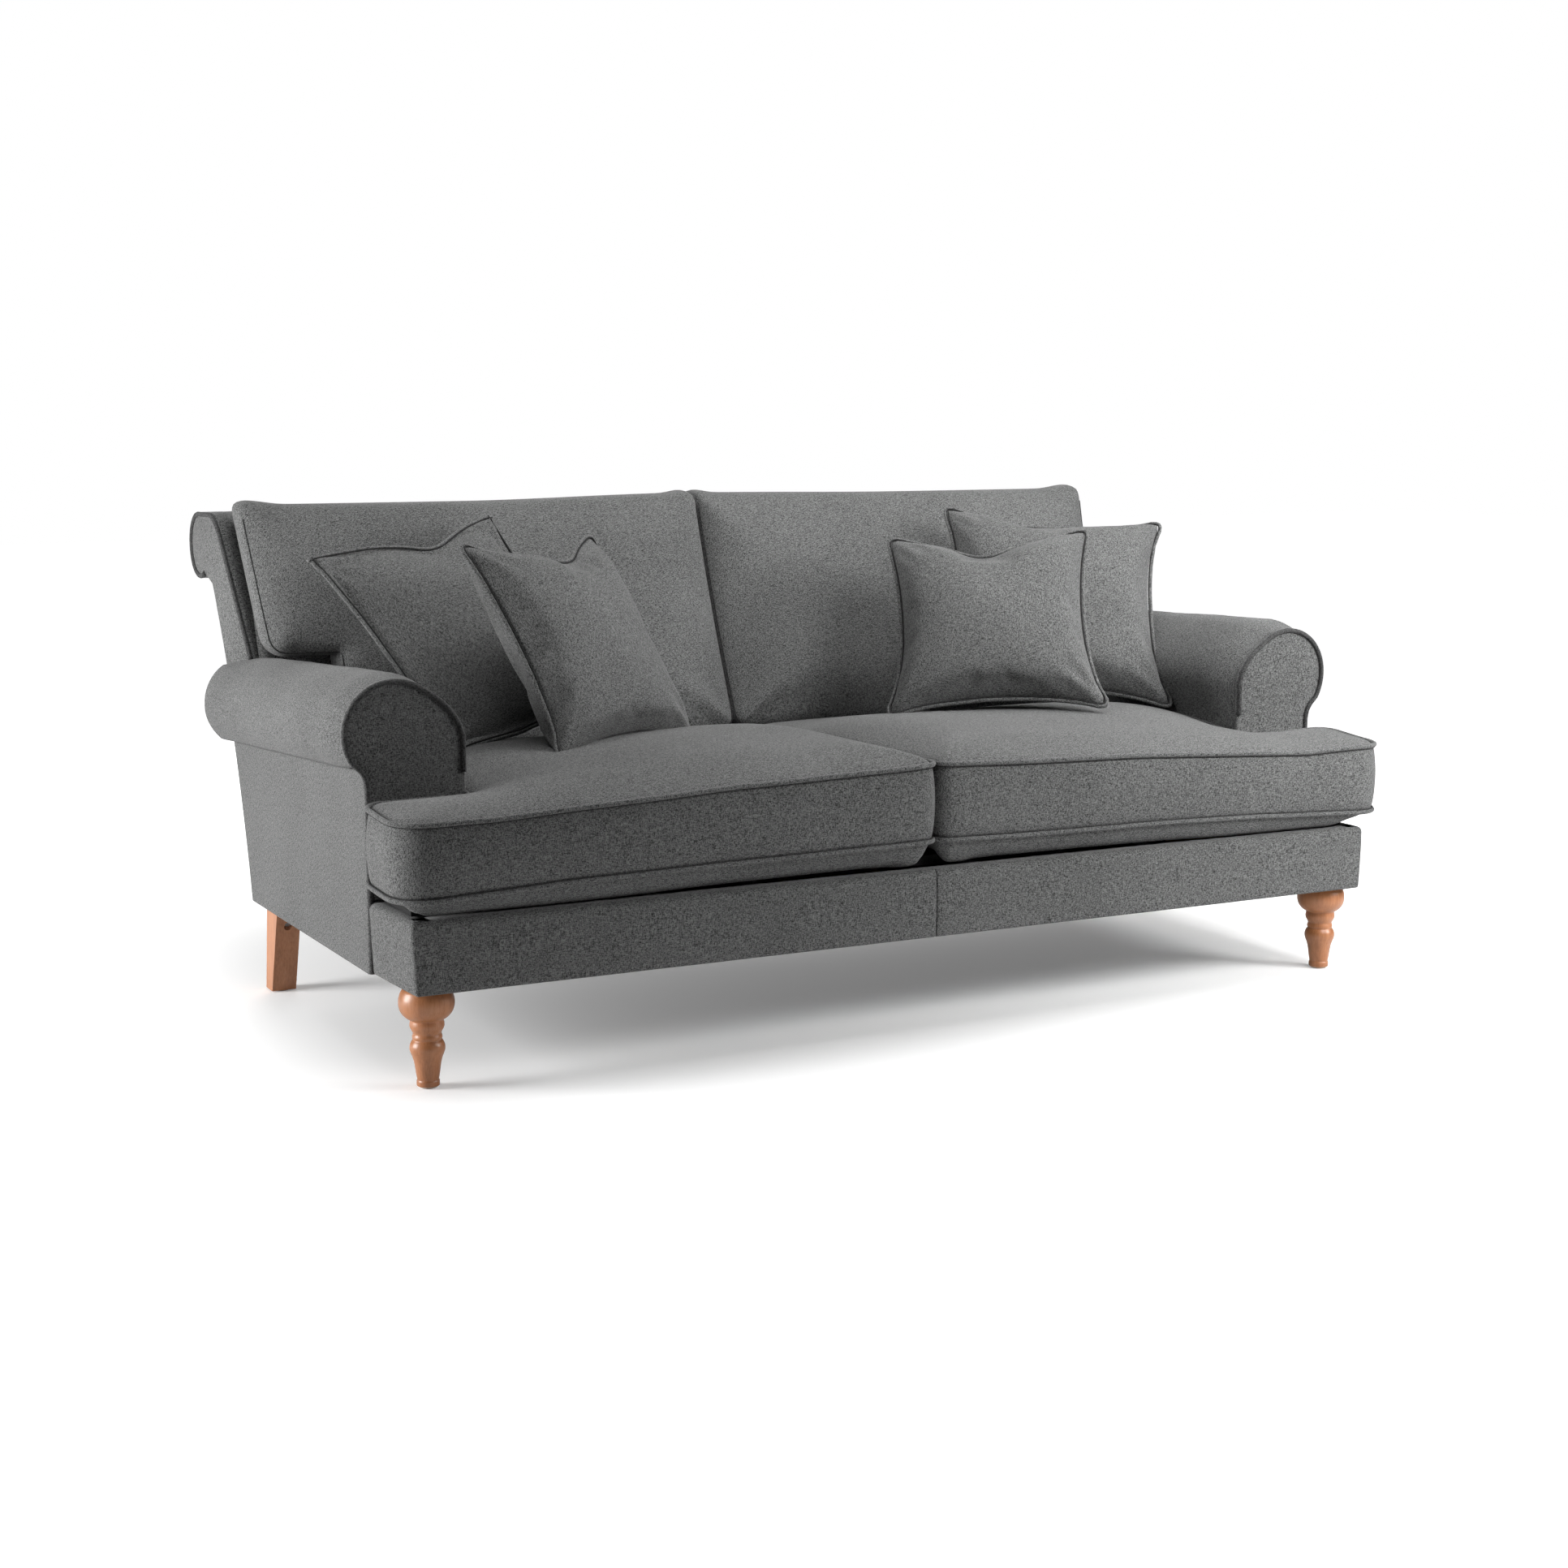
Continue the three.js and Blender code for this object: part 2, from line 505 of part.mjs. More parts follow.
// A knife-edged scatter cushion: two crowned faces that meet in a square with hollow sides.
function scatterCushion(size, thickness) {
  const n = 9;
  const half = size / 2;
  const positions = [];
  const index = [];
  const rim = (i, j) => i === 0 || j === 0 || i === n || j === n;
  const ids = [new Map(), new Map()];
  for (const face of [0, 1]) {
    for (let i = 0; i <= n; i++) {
      for (let j = 0; j <= n; j++) {
        const key = i * (n + 1) + j;
        if (face === 1 && rim(i, j)) {
          ids[1].set(key, ids[0].get(key));
          continue;
        }
        const [u, v] = [(2 * i) / n - 1, (2 * j) / n - 1];
        const rise = (thickness / 2) * ((1 - u * u) * (1 - v * v)) ** 0.45;
        ids[face].set(key, positions.length / 3);
        positions.push(
          half * u * (1 - 0.07 * (1 - v * v)), (face ? -1 : 1) * rise, half * v * (1 - 0.07 * (1 - u * u)));
      }
    }
    for (let i = 0; i < n; i++) {
      for (let j = 0; j < n; j++) {
        const [a, b, c, d] = [[i, j], [i + 1, j], [i + 1, j + 1], [i, j + 1]]
          .map(([p, q]) => ids[face].get(p * (n + 1) + q));
        index.push(...(face ? [a, b, c, a, c, d] : [a, c, b, a, d, c]));
      }
    }
  }
  const g = new THREE.BufferGeometry();
  g.setAttribute("position", new THREE.Float32BufferAttribute(positions, 3));
  g.setIndex(index);
  return g;
}

// Centre, lean back, tilt in its own plane and turn towards the middle, in degrees.
const SCATTERS = {
  large_scatter_right: { size: 450, thickness: 116, at: [633, 604, 670], lean: 40, tilt: 5, turn: -23 },
  small_scatter_right: { size: 405, thickness: 112, at: [408, 470, 652], lean: 40, tilt: -3.8, turn: -33.5 },
  large_scatter_left: { size: 446, thickness: 110, at: [-600, 626, 672.5], lean: 41, tilt: -10.2, turn: 16.8 },
  small_scatter_left: { size: 405, thickness: 105, at: [-452, 470, 650], lean: 31, tilt: 0.9, turn: 32.5 },
};

function buildCushions() {
  add("seat_cushion_right", seatCushion(EAR_RIGHT), FABRIC);
  add("seat_cushion_left", mirrored(seatCushion(EAR_LEFT)), FABRIC);
  add("back_cushion_right", backCushion(BACK_CUSHION_RIGHT), FABRIC);
  add("back_cushion_left", mirrored(backCushion(BACK_CUSHION_LEFT)), FABRIC);
  for (const [name, { size, thickness, at, lean, tilt, turn }] of Object.entries(SCATTERS)) {
    const g = scatterCushion(size, thickness)
      .rotateY(rad(tilt)).rotateX(-rad(lean)).rotateZ(rad(turn)).translate(...at);
    add(name, g, FABRIC);
  }
}

buildFrame();
buildArms();
buildBack();
buildLinings();
buildBaseCovers();
buildLegs();
buildCushions();

const footprint = new THREE.Box3().setFromObject(sofa).getCenter(new THREE.Vector3());
sofa.position.set(-footprint.x, -footprint.y, 0);

export default sofa;
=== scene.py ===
# Looks for the sofa with wooden legs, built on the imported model. Shapes are worked out in
# millimetres, with y from the front of the base and z from the floor, as in the CAD.
import json
import math

import bmesh
import bpy
import numpy as np
from mathutils import Matrix, Vector, noise
from mathutils.geometry import delaunay_2d_cdt

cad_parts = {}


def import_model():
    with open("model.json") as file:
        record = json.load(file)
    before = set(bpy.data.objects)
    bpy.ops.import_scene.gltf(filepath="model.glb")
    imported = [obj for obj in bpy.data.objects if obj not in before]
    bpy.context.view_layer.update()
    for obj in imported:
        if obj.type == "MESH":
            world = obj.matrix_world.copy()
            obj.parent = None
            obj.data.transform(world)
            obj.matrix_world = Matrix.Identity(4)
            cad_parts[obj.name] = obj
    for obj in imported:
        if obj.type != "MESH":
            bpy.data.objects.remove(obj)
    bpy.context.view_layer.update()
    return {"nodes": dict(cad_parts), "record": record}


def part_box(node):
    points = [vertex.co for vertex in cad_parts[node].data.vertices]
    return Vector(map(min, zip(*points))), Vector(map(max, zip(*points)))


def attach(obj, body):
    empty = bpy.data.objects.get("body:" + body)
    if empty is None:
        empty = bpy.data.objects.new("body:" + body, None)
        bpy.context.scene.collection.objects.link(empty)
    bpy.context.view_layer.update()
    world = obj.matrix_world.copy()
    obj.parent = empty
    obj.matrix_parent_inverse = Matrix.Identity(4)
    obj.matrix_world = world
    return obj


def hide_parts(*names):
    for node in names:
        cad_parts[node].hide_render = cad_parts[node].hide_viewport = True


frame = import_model()
scene = bpy.context.scene

BASE_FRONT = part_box("base_front_cover_right")[0][1]      # the part frame's y of the base front
SIDES = (("right", 1), ("left", -1))

# ---- Driving dimensions ---------------------------------------------------------------------
BASE_BOTTOM, BASE_TOP = 162, 280
BASE_HALF, BASE_CORNER = 939, 7             # half the width of the base, and its rounded corner
SEAM_TUCK = (2.2, 0.9, 0.2)                 # how far the centre seam draws the border in
EDGE_LEVEL, DECK_LEVEL = BASE_TOP + 1.5, 297              # what the seat cushions rest on

ARM_FRONT = 184                             # y of the arm facing
ARM_PAD_FRONT = ARM_FRONT + 8
ARM_SIDE, ARM_INNER = 944, 780              # x of the outer and the inner side of an arm
ARM_SLOPE = 0.055                           # fall of the arm towards the back, per mm
ARM_OVERHANG = 42                           # how far the roll runs past the outside back
ROLL_X, ROLL_Z, ROLL_R = 898, 548, 88       # centre and radius of the arm's scroll
# Slope, fullness and lift of each roll: the right arm is padded a little fuller than the left.
ARM_SHAPES = {"right": (0.032, 16, 6), "left": (ARM_SLOPE, 9, 0)}

RAKE = 0.404                                # lean of the inside back, per mm of height
INSIDE_Y, INSIDE_Z = 876, 474               # the inside back passes through here
REAR_Y, REAR_SLOPE, REAR_CURVE = 862, 0.245, 0.00026      # the outside back, from the base upwards
BACK_TOP, BACK_HALF = 866, 905              # top of the back, and half its width without the facings
BACK_PAD_BOTTOM, BACK_PAD_THICK = 480, 22
SCROLL_Y, SCROLL_Z, SCROLL_R = 1150, 802, 63              # centre and radius of the scroll of the back
FACING_THICK, FACING_TAPER = 45, 33         # thickness of a back facing, and how much it loses low down

PIPING_R = 4.6                              # radius of the piping of the arms and the back
LEG_X, LEG_Y = 897.5, 64                    # axis of a front leg

CELL = 13                                   # size of the square cells of a boxed cushion
SEAT_TOP, SEAT_BOTTOM = 463, 331            # heights of the two seams of a seat cushion
SEAT_PITCH = 32                             # the loose seat cushions sink this far towards the back
BACK_CUSHION_BOTTOM, BACK_CUSHION_TOP = 441, 884
BACK_CUSHION_INNER = 775                    # x where its ear begins
BACK_CUSHION_FRONT, BACK_CUSHION_REAR = 778, 858          # y of its panels at the foot, before it leans


# ---- Small helpers --------------------------------------------------------------------------
def to_frame(points):
    """Millimetres from the base front to metres in the part's frame."""
    out = np.asarray(points, float) / 1000
    out[:, 1] += BASE_FRONT
    return out


def smooth(low, high, value):
    """A soft step from 0 at low to 1 at high."""
    t = np.clip((value - low) / (high - low), 0, 1)
    return t * t * (3 - 2 * t)


def ripple(point, size, seed=0):
    """Smooth noise from -1 to 1 with features of about that many millimetres."""
    return noise.noise(Vector(point) / size + Vector((seed * 7.3, seed * 3.1, seed * 5.7)))


def rumple(point, *waves):
    """Ripples added up, each given by its height, size and seed."""
    return sum(height * ripple(point, size, seed) for height, size, seed in waves)


def dome(distance, reach):
    """A quarter ellipse: 0 at the rim, 1 from that reach inwards."""
    return np.sqrt(1 - (1 - np.clip(distance / reach, 0, 1)) ** 2)


def arc(cu, cv, r, start, end, steps):
    """Points of a circle's arc, both ends included; angles are in degrees."""
    turns = np.radians(np.linspace(start, end, steps + 1))
    return [(cu + r * math.cos(a), cv + r * math.sin(a)) for a in turns]


def bend(a, control, b, steps):
    """Points of a curve from a to b that is drawn towards the control point; a itself is left out."""
    a, control, b = np.array(a), np.array(control), np.array(b)
    return [tuple((1 - t) ** 2 * a + 2 * t * (1 - t) * control + t * t * b)
            for t in np.linspace(0, 1, steps + 1)[1:]]


def resample(points, step):
    """The same open path with points about a step apart."""
    p = np.asarray(points, float)
    lengths = np.r_[0, np.cumsum(np.linalg.norm(np.diff(p, axis=0), axis=1))]
    count = max(2, int(round(lengths[-1] / step)) + 1)
    at = np.linspace(0, lengths[-1], count)
    return np.column_stack([np.interp(at, lengths, p[:, k]) for k in range(p.shape[1])])


def rear_line(z):
    """y of the outside back, which leans and curves backwards from the base."""
    rise = z - BASE_BOTTOM
    return REAR_Y + REAR_SLOPE * rise + REAR_CURVE * rise ** 2


def inside_line(z):
    """y of the inside back."""
    return INSIDE_Y + RAKE * (z - INSIDE_Z)


def make(name, verts, faces, material, body, nodes=(), matrix=None):
    """A mesh piece that rides on a body. Without a matrix its points start from the base front."""
    mesh = bpy.data.meshes.new(name)
    local = to_frame(verts) if matrix is None else np.asarray(verts, float) / 1000
    mesh.from_pydata(local.tolist(), [], [list(map(int, f)) for f in faces])
    mesh.update()
    bm = bmesh.new()
    bm.from_mesh(mesh)
    bmesh.ops.recalc_face_normals(bm, faces=bm.faces)
    bm.to_mesh(mesh)
    bm.free()
    mesh.polygons.foreach_set("use_smooth", [True] * len(mesh.polygons))
    mesh.materials.append(material)
    piece = bpy.data.objects.new(name, mesh)
    scene.collection.objects.link(piece)
    if matrix is not None:
        piece.matrix_world = matrix
    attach(piece, body)
    if nodes:
        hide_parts(*nodes)
    return piece


def soften(piece, width):
    """Rounds the hard edges of a piece."""
    bevel = piece.modifiers.new("rounded", "BEVEL")
    bevel.width = width / 1000
    bevel.segments = 3
    bevel.limit_method = "ANGLE"
    bevel.angle_limit = math.radians(35)
    bevel.harden_normals = True


def subdivide(piece):
    """Smooths a piece by one level of subdivision."""
    subd = piece.modifiers.new("smooth", "SUBSURF")
    subd.levels = 1
    subd.render_levels = 1


def loft(rings, caps=True):
    """Quads between closed rings of points, with a face over each end."""
    rings = [np.asarray(r, float) for r in rings]
    n = len(rings[0])
    verts = np.vstack(rings)
    faces = []
    for i in range(len(rings) - 1):
        for j in range(n):
            k = (j + 1) % n
            faces.append((i * n + j, i * n + k, (i + 1) * n + k, (i + 1) * n + j))
    if caps:
        faces.append(tuple(range(n))[::-1])
        faces.append(tuple((len(rings) - 1) * n + j for j in range(n)))
    return verts, faces


def inside_loop(u, v, loop):
    """Even-odd test of a point against a closed loop."""
    a, b = loop, np.roll(loop, -1, 0)
    spans = (a[:, 1] > v) != (b[:, 1] > v)
    a, b = a[spans], b[spans]
    crossings = a[:, 0] + (v - a[:, 1]) * (b[:, 0] - a[:, 0]) / (b[:, 1] - a[:, 1])
    return np.count_nonzero(u < crossings) % 2 == 1


def filled(loop, step):
    """Triangles over a flat closed loop: the loop's own points first, then a grid inside it."""
    loop = np.asarray(loop, float)
    points = list(loop)
    low, high = loop.min(0), loop.max(0)
    for u in np.arange(low[0] + step / 2, high[0], step):
        for v in np.arange(low[1] + step / 2, high[1], step):
            clear = np.linalg.norm(loop - (u, v), axis=1).min() > step * 0.7
            if clear and inside_loop(u, v, loop):
                points.append((u, v))
    points = [Vector(point) for point in points]
    outline = list(range(len(loop)))
    within_outline, merge_distance = 1, 1e-4
    flat, _, faces = delaunay_2d_cdt(points, [], [outline], within_outline, merge_distance)[:3]
    return np.array([tuple(p) for p in flat]), [tuple(f) for f in faces]


def capped(rings, place, pillow, step=18, reach=22):
    """A lofted rim, closed by a slightly domed sheet over its last ring.

    A ring is a flat outline and its height; place(points, heights) puts flat points where they belong.
    """
    verts, faces = loft([place(ring, np.full(len(ring), height)) for ring, height in rings], caps=False)
    faces.append(tuple(range(len(rings[0][0])))[::-1])
    loop, height = rings[-1]
    flat, sheet = filled(loop, step)
    away = np.linalg.norm(flat[:, None] - np.asarray(loop)[None], axis=2).min(1)
    heights = height + pillow * (1 - np.exp(-away / reach))
    faces += [tuple(len(verts) + k for k in face) for face in sheet]
    return np.vstack([verts, place(flat, heights)]), faces


def tangents(path, closed):
    """Unit directions along a path."""
    if closed:
        along = np.roll(path, -1, 0) - np.roll(path, 1, 0)
    else:
        along = np.vstack([path[1:], path[-1:]]) - np.vstack([path[:1], path[:-1]])
    return along / np.linalg.norm(along, axis=1)[:, None]


def tube(path, radius, closed=False, sides=10):
    """A round cord along a path."""
    path = np.asarray(path, float)
    along = tangents(path, closed)
    turns = np.linspace(0, 2 * math.pi, sides, endpoint=False)
    normal = np.cross(along[0], (0.3, 0.9, 0.2))         # no cord starts in this direction
    rings = []
    for point, tangent in zip(path, along):
        normal = normal - tangent * np.dot(normal, tangent)
        normal /= np.linalg.norm(normal)
        other = np.cross(tangent, normal)
        rings.append([point + radius * (math.cos(a) * normal + math.sin(a) * other) for a in turns])
    if not closed:
        return loft(rings)
    # Match the last ring to the first, which the moving normal has turned a little.
    first, last = np.array(rings[0]), np.array(rings[-1])
    turn = min(range(sides), key=lambda k: np.linalg.norm(np.roll(first, -k, 0) - last))
    verts, faces = loft(rings, caps=False)
    base = (len(rings) - 1) * sides
    for j in range(sides):
        k = (j + 1) % sides
        faces.append((base + j, base + k, (k + turn) % sides, (j + turn) % sides))
    return verts, faces


# ---- Materials ------------------------------------------------------------------------------
class Nodes:
    """Short names for building a node material."""

    def __init__(self, name):
        self.material = bpy.data.materials.new(name)
        self.material.use_nodes = True
        self.tree = self.material.node_tree
        self.shader = self.tree.nodes["Principled BSDF"]
        self.coords = self.add("ShaderNodeTexCoord")

    def add(self, kind, **values):
        node = self.tree.nodes.new(kind)
        for key, value in values.items():
            setattr(node, key, value)
        return node

    def join(self, source, target):
        self.tree.links.new(source, target)

    def put(self, **values):
        """Sets inputs of the shader; an underscore stands for a space."""
        for name, value in values.items():
            self.shader.inputs[name.replace("_", " ")].default_value = value

    def feed(self, source, name):
        """Joins a node's output to an input of the shader."""
        self.join(source, self.shader.inputs[name])

    def scaled(self, scale):
        mapping = self.add("ShaderNodeMapping")
        mapping.inputs["Scale"].default_value = scale
        self.join(self.coords.outputs["Object"], mapping.inputs["Vector"])
        return mapping.outputs[0]

    def noise(self, scale, detail=2.0, rough=0.5):
        """Noise with that many features per metre along each axis."""
        tex = self.add("ShaderNodeTexNoise")
        tex.inputs["Scale"].default_value = 1.0
        tex.inputs["Detail"].default_value = detail
        tex.inputs["Roughness"].default_value = rough
        self.join(self.scaled(scale), tex.inputs["Vector"])
        return tex.outputs["Fac"]

    def maths(self, operation, a, b=None, c=None):
        node = self.add("ShaderNodeMath", operation=operation)
        for socket, value in zip(node.inputs, (a, b, c)):
            if value is None:
                continue
            if isinstance(value, (int, float)):
                socket.default_value = value
            else:
                self.join(value, socket)
        return node.outputs[0]

    def ramp(self, fac, stops):
        node = self.add("ShaderNodeValToRGB")
        elements = node.color_ramp.elements
        while len(elements) < len(stops):
            elements.new(0.5)
        for element, (position, colour) in zip(elements, stops):
            element.position = position
            element.color = (*colour, 1)
        self.join(fac, node.inputs["Fac"])
        return node.outputs["Color"]

    def bump(self, height, strength, distance):
        node = self.add("ShaderNodeBump")
        node.inputs["Strength"].default_value = strength
        node.inputs["Distance"].default_value = distance
        self.join(height, node.inputs["Height"])
        self.feed(node.outputs["Normal"], "Normal")


def weave_fabric(name, dark, light, sheen=0.12, tint=(1, 1, 1)):
    """Heathered plain weave: slubby threads along each axis, with a fine over and under."""
    n = Nodes(name)
    slub, thread, speck = 190, 960, 840
    along_x = n.noise((slub, thread, thread))
    along_y = n.noise((thread, slub, thread))
    along_z = n.noise((thread, thread, slub))
    speckle = n.noise((speck, speck, speck), rough=0.6)
    threads = n.maths("ADD", n.maths("ADD", along_x, along_y), along_z)
    mixed = n.maths("MULTIPLY_ADD", threads, 0.27, n.maths("MULTIPLY", speckle, 0.19))
    cloud = n.maths("MULTIPLY_ADD", n.noise((5, 5, 5), detail=1.0), 0.03, -0.015)
    shades = [(0.435, dark), (0.5, (dark + light) / 2), (0.565, light)]
    stops = [(position, tuple(shade * t for t in tint)) for position, shade in shades]
    n.feed(n.ramp(n.maths("ADD", mixed, cloud), stops), "Base Color")
    n.feed(n.maths("MULTIPLY_ADD", speckle, 0.12, 0.84), "Roughness")
    n.put(Sheen_Weight=sheen, Sheen_Roughness=0.45, Specular_IOR_Level=0.25)
    n.bump(n.maths("ADD", threads, speckle), 0.3, 0.001)
    return n.material


def wood(name, dark, mid, light, roughness, grain=(55, 55, 5), coat=0.0, fleck=True):
    """Straight grain, along Z unless told otherwise, with the short darker flecks of beech."""
    n = Nodes(name)
    bands = n.noise(grain, detail=4.0, rough=0.6)
    fine = n.noise((grain[0] * 7, grain[1] * 7, grain[2] * 5))
    mixed = n.maths("MULTIPLY_ADD", fine, 0.35, n.maths("MULTIPLY", bands, 0.65))
    if fleck:
        flecks = n.maths("GREATER_THAN", n.noise((900, 900, 130), detail=0.0), 0.66)
        mixed = n.maths("SUBTRACT", mixed, n.maths("MULTIPLY", flecks, 0.07))
    n.feed(n.ramp(mixed, [(0.3, dark), (0.5, mid), (0.7, light)]), "Base Color")
    n.feed(n.maths("MULTIPLY_ADD", fine, 0.12, roughness - 0.06), "Roughness")
    n.put(Coat_Weight=coat, Coat_Roughness=0.25)
    n.bump(mixed, 0.12, 0.0006)
    return n.material


def steel(name):
    """Bright zinc, drawn along Z."""
    n = Nodes(name)
    brushed = n.noise((300, 300, 40))
    n.feed(n.ramp(brushed, [(0.3, (0.45, 0.45, 0.46)), (0.7, (0.62, 0.62, 0.63))]), "Base Color")
    n.feed(n.maths("MULTIPLY_ADD", brushed, 0.2, 0.25), "Roughness")
    n.put(Metallic=1.0)
    n.bump(brushed, 0.1, 0.0003)
    return n.material


def moulded(name, colour):
    """Moulded plastic with a fine grain."""
    n = Nodes(name)
    grain = n.noise((500, 500, 500))
    lighter = tuple(min(1.0, c * 1.1) for c in colour)
    n.feed(n.ramp(grain, [(0.3, colour), (0.7, lighter)]), "Base Color")
    n.feed(n.maths("MULTIPLY_ADD", grain, 0.2, 0.4), "Roughness")
    n.bump(grain, 0.1, 0.0003)
    return n.material


FABRIC = weave_fabric("grey_weave", 0.014, 0.21, tint=(0.99, 1.0, 0.99))
# The piping cord is real, but its cloth is much darker than the cover: the darkness is painted shade along
# the seams of the arms and the back.
SHADED_PIPING = weave_fabric("piping_weave_painted_shade", 0.01, 0.1, sheen=0.05)
# Near-black cloth for thin cords that paint the shade in the crease beside piping and along seams.
SEAM_SHADE = weave_fabric("seam_shadow", 0.01, 0.05, sheen=0.0)
PLATFORM = weave_fabric("platform_cloth", 0.012, 0.03, sheen=0.05)
WEBBING = weave_fabric("webbing", 0.015, 0.05, sheen=0.05, tint=(1.1, 1, 0.9))
BEECH = wood("beech", (0.31, 0.12, 0.047), (0.42, 0.17, 0.072), (0.5, 0.22, 0.1), 0.38, coat=0.25)
TIMBER = wood("sawn_timber", (0.45, 0.28, 0.13), (0.58, 0.4, 0.21), (0.66, 0.48, 0.27), 0.8, fleck=False)
PLYWOOD = wood("plywood", (0.5, 0.34, 0.18), (0.6, 0.43, 0.25), (0.68, 0.51, 0.31), 0.8,
               grain=(12, 12, 60), fleck=False)
STEEL = steel("zinc_steel")
NYLON = moulded("nylon", (0.62, 0.6, 0.55))

NODE_LOOKS = {
    "timber": TIMBER, "plywood": PLYWOOD, "steel": STEEL, "webbing": WEBBING, "platform_cloth": PLATFORM,
    "glides": NYLON, "beech": BEECH, "fabric": FABRIC, "cushion_fabric": FABRIC,
}
for part in frame["record"]["subparts"]:
    node = frame["nodes"][part["node"]]
    node.data.materials.clear()
    node.data.materials.append(NODE_LOOKS[part["material_slot"]])


# ---- Base -----------------------------------------------------------------------------------
def border_section():
    """The border cut across, as (outwards, z): over the top edge, down the face and back up inside."""
    low, high = BASE_BOTTOM, BASE_TOP
    face = high - low - 19
    section = [(-34, high), (-14, high)] + arc(-12, high - 12, 12, 85, 8, 6)
    section += [(0.6 * math.sin(math.pi * t), high - 13 - t * face) for t in np.linspace(0.05, 0.95, 9)]
    section += arc(-5, low + 5, 5, -10, -80, 3)
    section += [(-20, low), (-20, low + 5), (-6, low + 6)]
    return section + [(-7, high - 12), (-14, high - 7), (-34, high - 7)]


def border_path():
    """From the centre seam round the corner to the arm, as (x, y, outward x, outward y)."""
    turn = BASE_HALF - BASE_CORNER
    path = [(x, 0, 0, -1) for x in np.r_[0.3, 1.2, 3, 8, np.linspace(30, turn, 40)]]
    for a in np.radians(np.linspace(-90, 0, 6))[1:]:
        c, d = math.cos(a), math.sin(a)
        path.append((turn + BASE_CORNER * c, BASE_CORNER + BASE_CORNER * d, c, d))
    side = np.linspace(BASE_CORNER + 10, ARM_FRONT - 0.5, 9)
    return path + [(BASE_HALF + 8 * y / ARM_FRONT, y, 1, 0) for y in side]


def base_cover(side, sign):
    """Half of the front border, which turns the corner back to the arm."""
    middle, half_height = (BASE_BOTTOM + BASE_TOP) / 2, (BASE_TOP - BASE_BOTTOM) / 2
    section = border_section()
    rings = []
    for k, (x, y, nx, ny) in enumerate(border_path()):
        tuck = SEAM_TUCK[k] if k < len(SEAM_TUCK) else 0
        ring = []
        for out, z in section:
            if out > -6:
                out += rumple((x, y, z), (0.7, 90, 1), (0.35, 30, 2)) - tuck
            flare = 2.5 * (z - middle) / half_height * nx
            ring.append((sign * (x + nx * out + flare), y + ny * out, z))
        rings.append(ring)
    verts, faces = loft(rings)
    make(f"base_border_{side}", verts, faces, FABRIC, "frame", [f"base_front_cover_{side}"])


# ---- Arms -----------------------------------------------------------------------------------
def arm_outline(z0, inset, step):
    """From the tuck under the scroll, over it and down the inner face, seen from the front."""
    over = arc(ROLL_X, ROLL_Z, ROLL_R - inset, -36, 125, 40)
    inner = ARM_INNER + inset
    fall = bend(over[-1], (inner + 8, 585 - inset * 0.6), (inner, 537), 10)
    return resample(over + fall + [(inner, z0)], step)


def arm_rear(x, z):
    """Where a line of the arm ends, against the slope of the outside back."""
    past_back = ARM_OVERHANG if x > ARM_SIDE else -9
    y = 1000.0
    for _ in range(6):
        y = rear_line(z - ARM_SLOPE * (y - ARM_PAD_FRONT)) + past_back
    return y


def arm_padding(x, y, z, end, fullness):
    """How far the cover stands out over its filling, less where it turns in at both ends."""
    puff = rumple((x, y, z), (1.3, 130, 3), (0.6, 45, 4))
    puff += fullness * smooth(0, 70, y - ARM_PAD_FRONT) * smooth(470, 545, z)
    turned = np.clip((y - (end - 45)) / 45, 0, 1)
    rear_edge = 10 + 14 * smooth(500, 560, z) if x > ARM_SIDE else 4
    puff -= rear_edge * (1 - math.sqrt(1 - turned * turned))
    return puff - 2.5 * math.exp(-(y - ARM_PAD_FRONT) / 6)


def scroll_lift(z, lift):
    """The lift of a fuller arm, which only its scroll has."""
    return lift * smooth(470, 560, z)


def arm_roll(side, sign):
    """The padded cover of the scroll and of the inner side, drawn from the front to the back."""
    slope, fullness, lift = ARM_SHAPES[side]
    outer = arm_outline(300, 0, 9)
    outline = np.vstack([outer, arm_outline(300, 20, 9)[::-1]])
    ends = [0.945, 0.96, 0.972, 0.982, 0.99, 0.996, 1]
    rings = []
    for t in np.r_[0, 0.004, 0.01, np.linspace(0.02, 0.93, 60), ends]:
        ring = []
        for k, (x, z) in enumerate(outline):
            end = arm_rear(x, z)
            y = ARM_PAD_FRONT + t * (end - ARM_PAD_FRONT)
            if k < len(outer):
                away = np.array((x - ROLL_X, z - ROLL_Z), float)
                away *= arm_padding(x, y, z, end, fullness) / np.linalg.norm(away)
                x, z = x + away[0], z + away[1]
            elif x > ARM_SIDE:
                x -= (x - ARM_SIDE - 0.5) * smooth(0.97, 1, t)
            drop = slope * (y - ARM_PAD_FRONT)
            ring.append((sign * x, y, z - drop + scroll_lift(z, lift)))
        rings.append(ring)
    verts, faces = loft(rings)
    make(f"arm_roll_{side}", verts, faces, FABRIC, "frame", [f"arm_scroll_pad_{side}"])


def panel(outline, steps):
    """The rim of a padded panel: its outline at each step, given as (inset, height)."""
    p = np.asarray(outline, float)
    edge = np.roll(p, -1, 0) - np.roll(p, 1, 0)
    edge /= np.linalg.norm(edge, axis=1)[:, None]
    inward = np.column_stack([-edge[:, 1], edge[:, 0]])
    area = 0.5 * np.sum(p[:, 0] * np.roll(p[:, 1], -1) - np.roll(p[:, 0], -1) * p[:, 1])
    if area < 0:
        inward = -inward
    return [(p + inward * inset, height) for inset, height in steps]


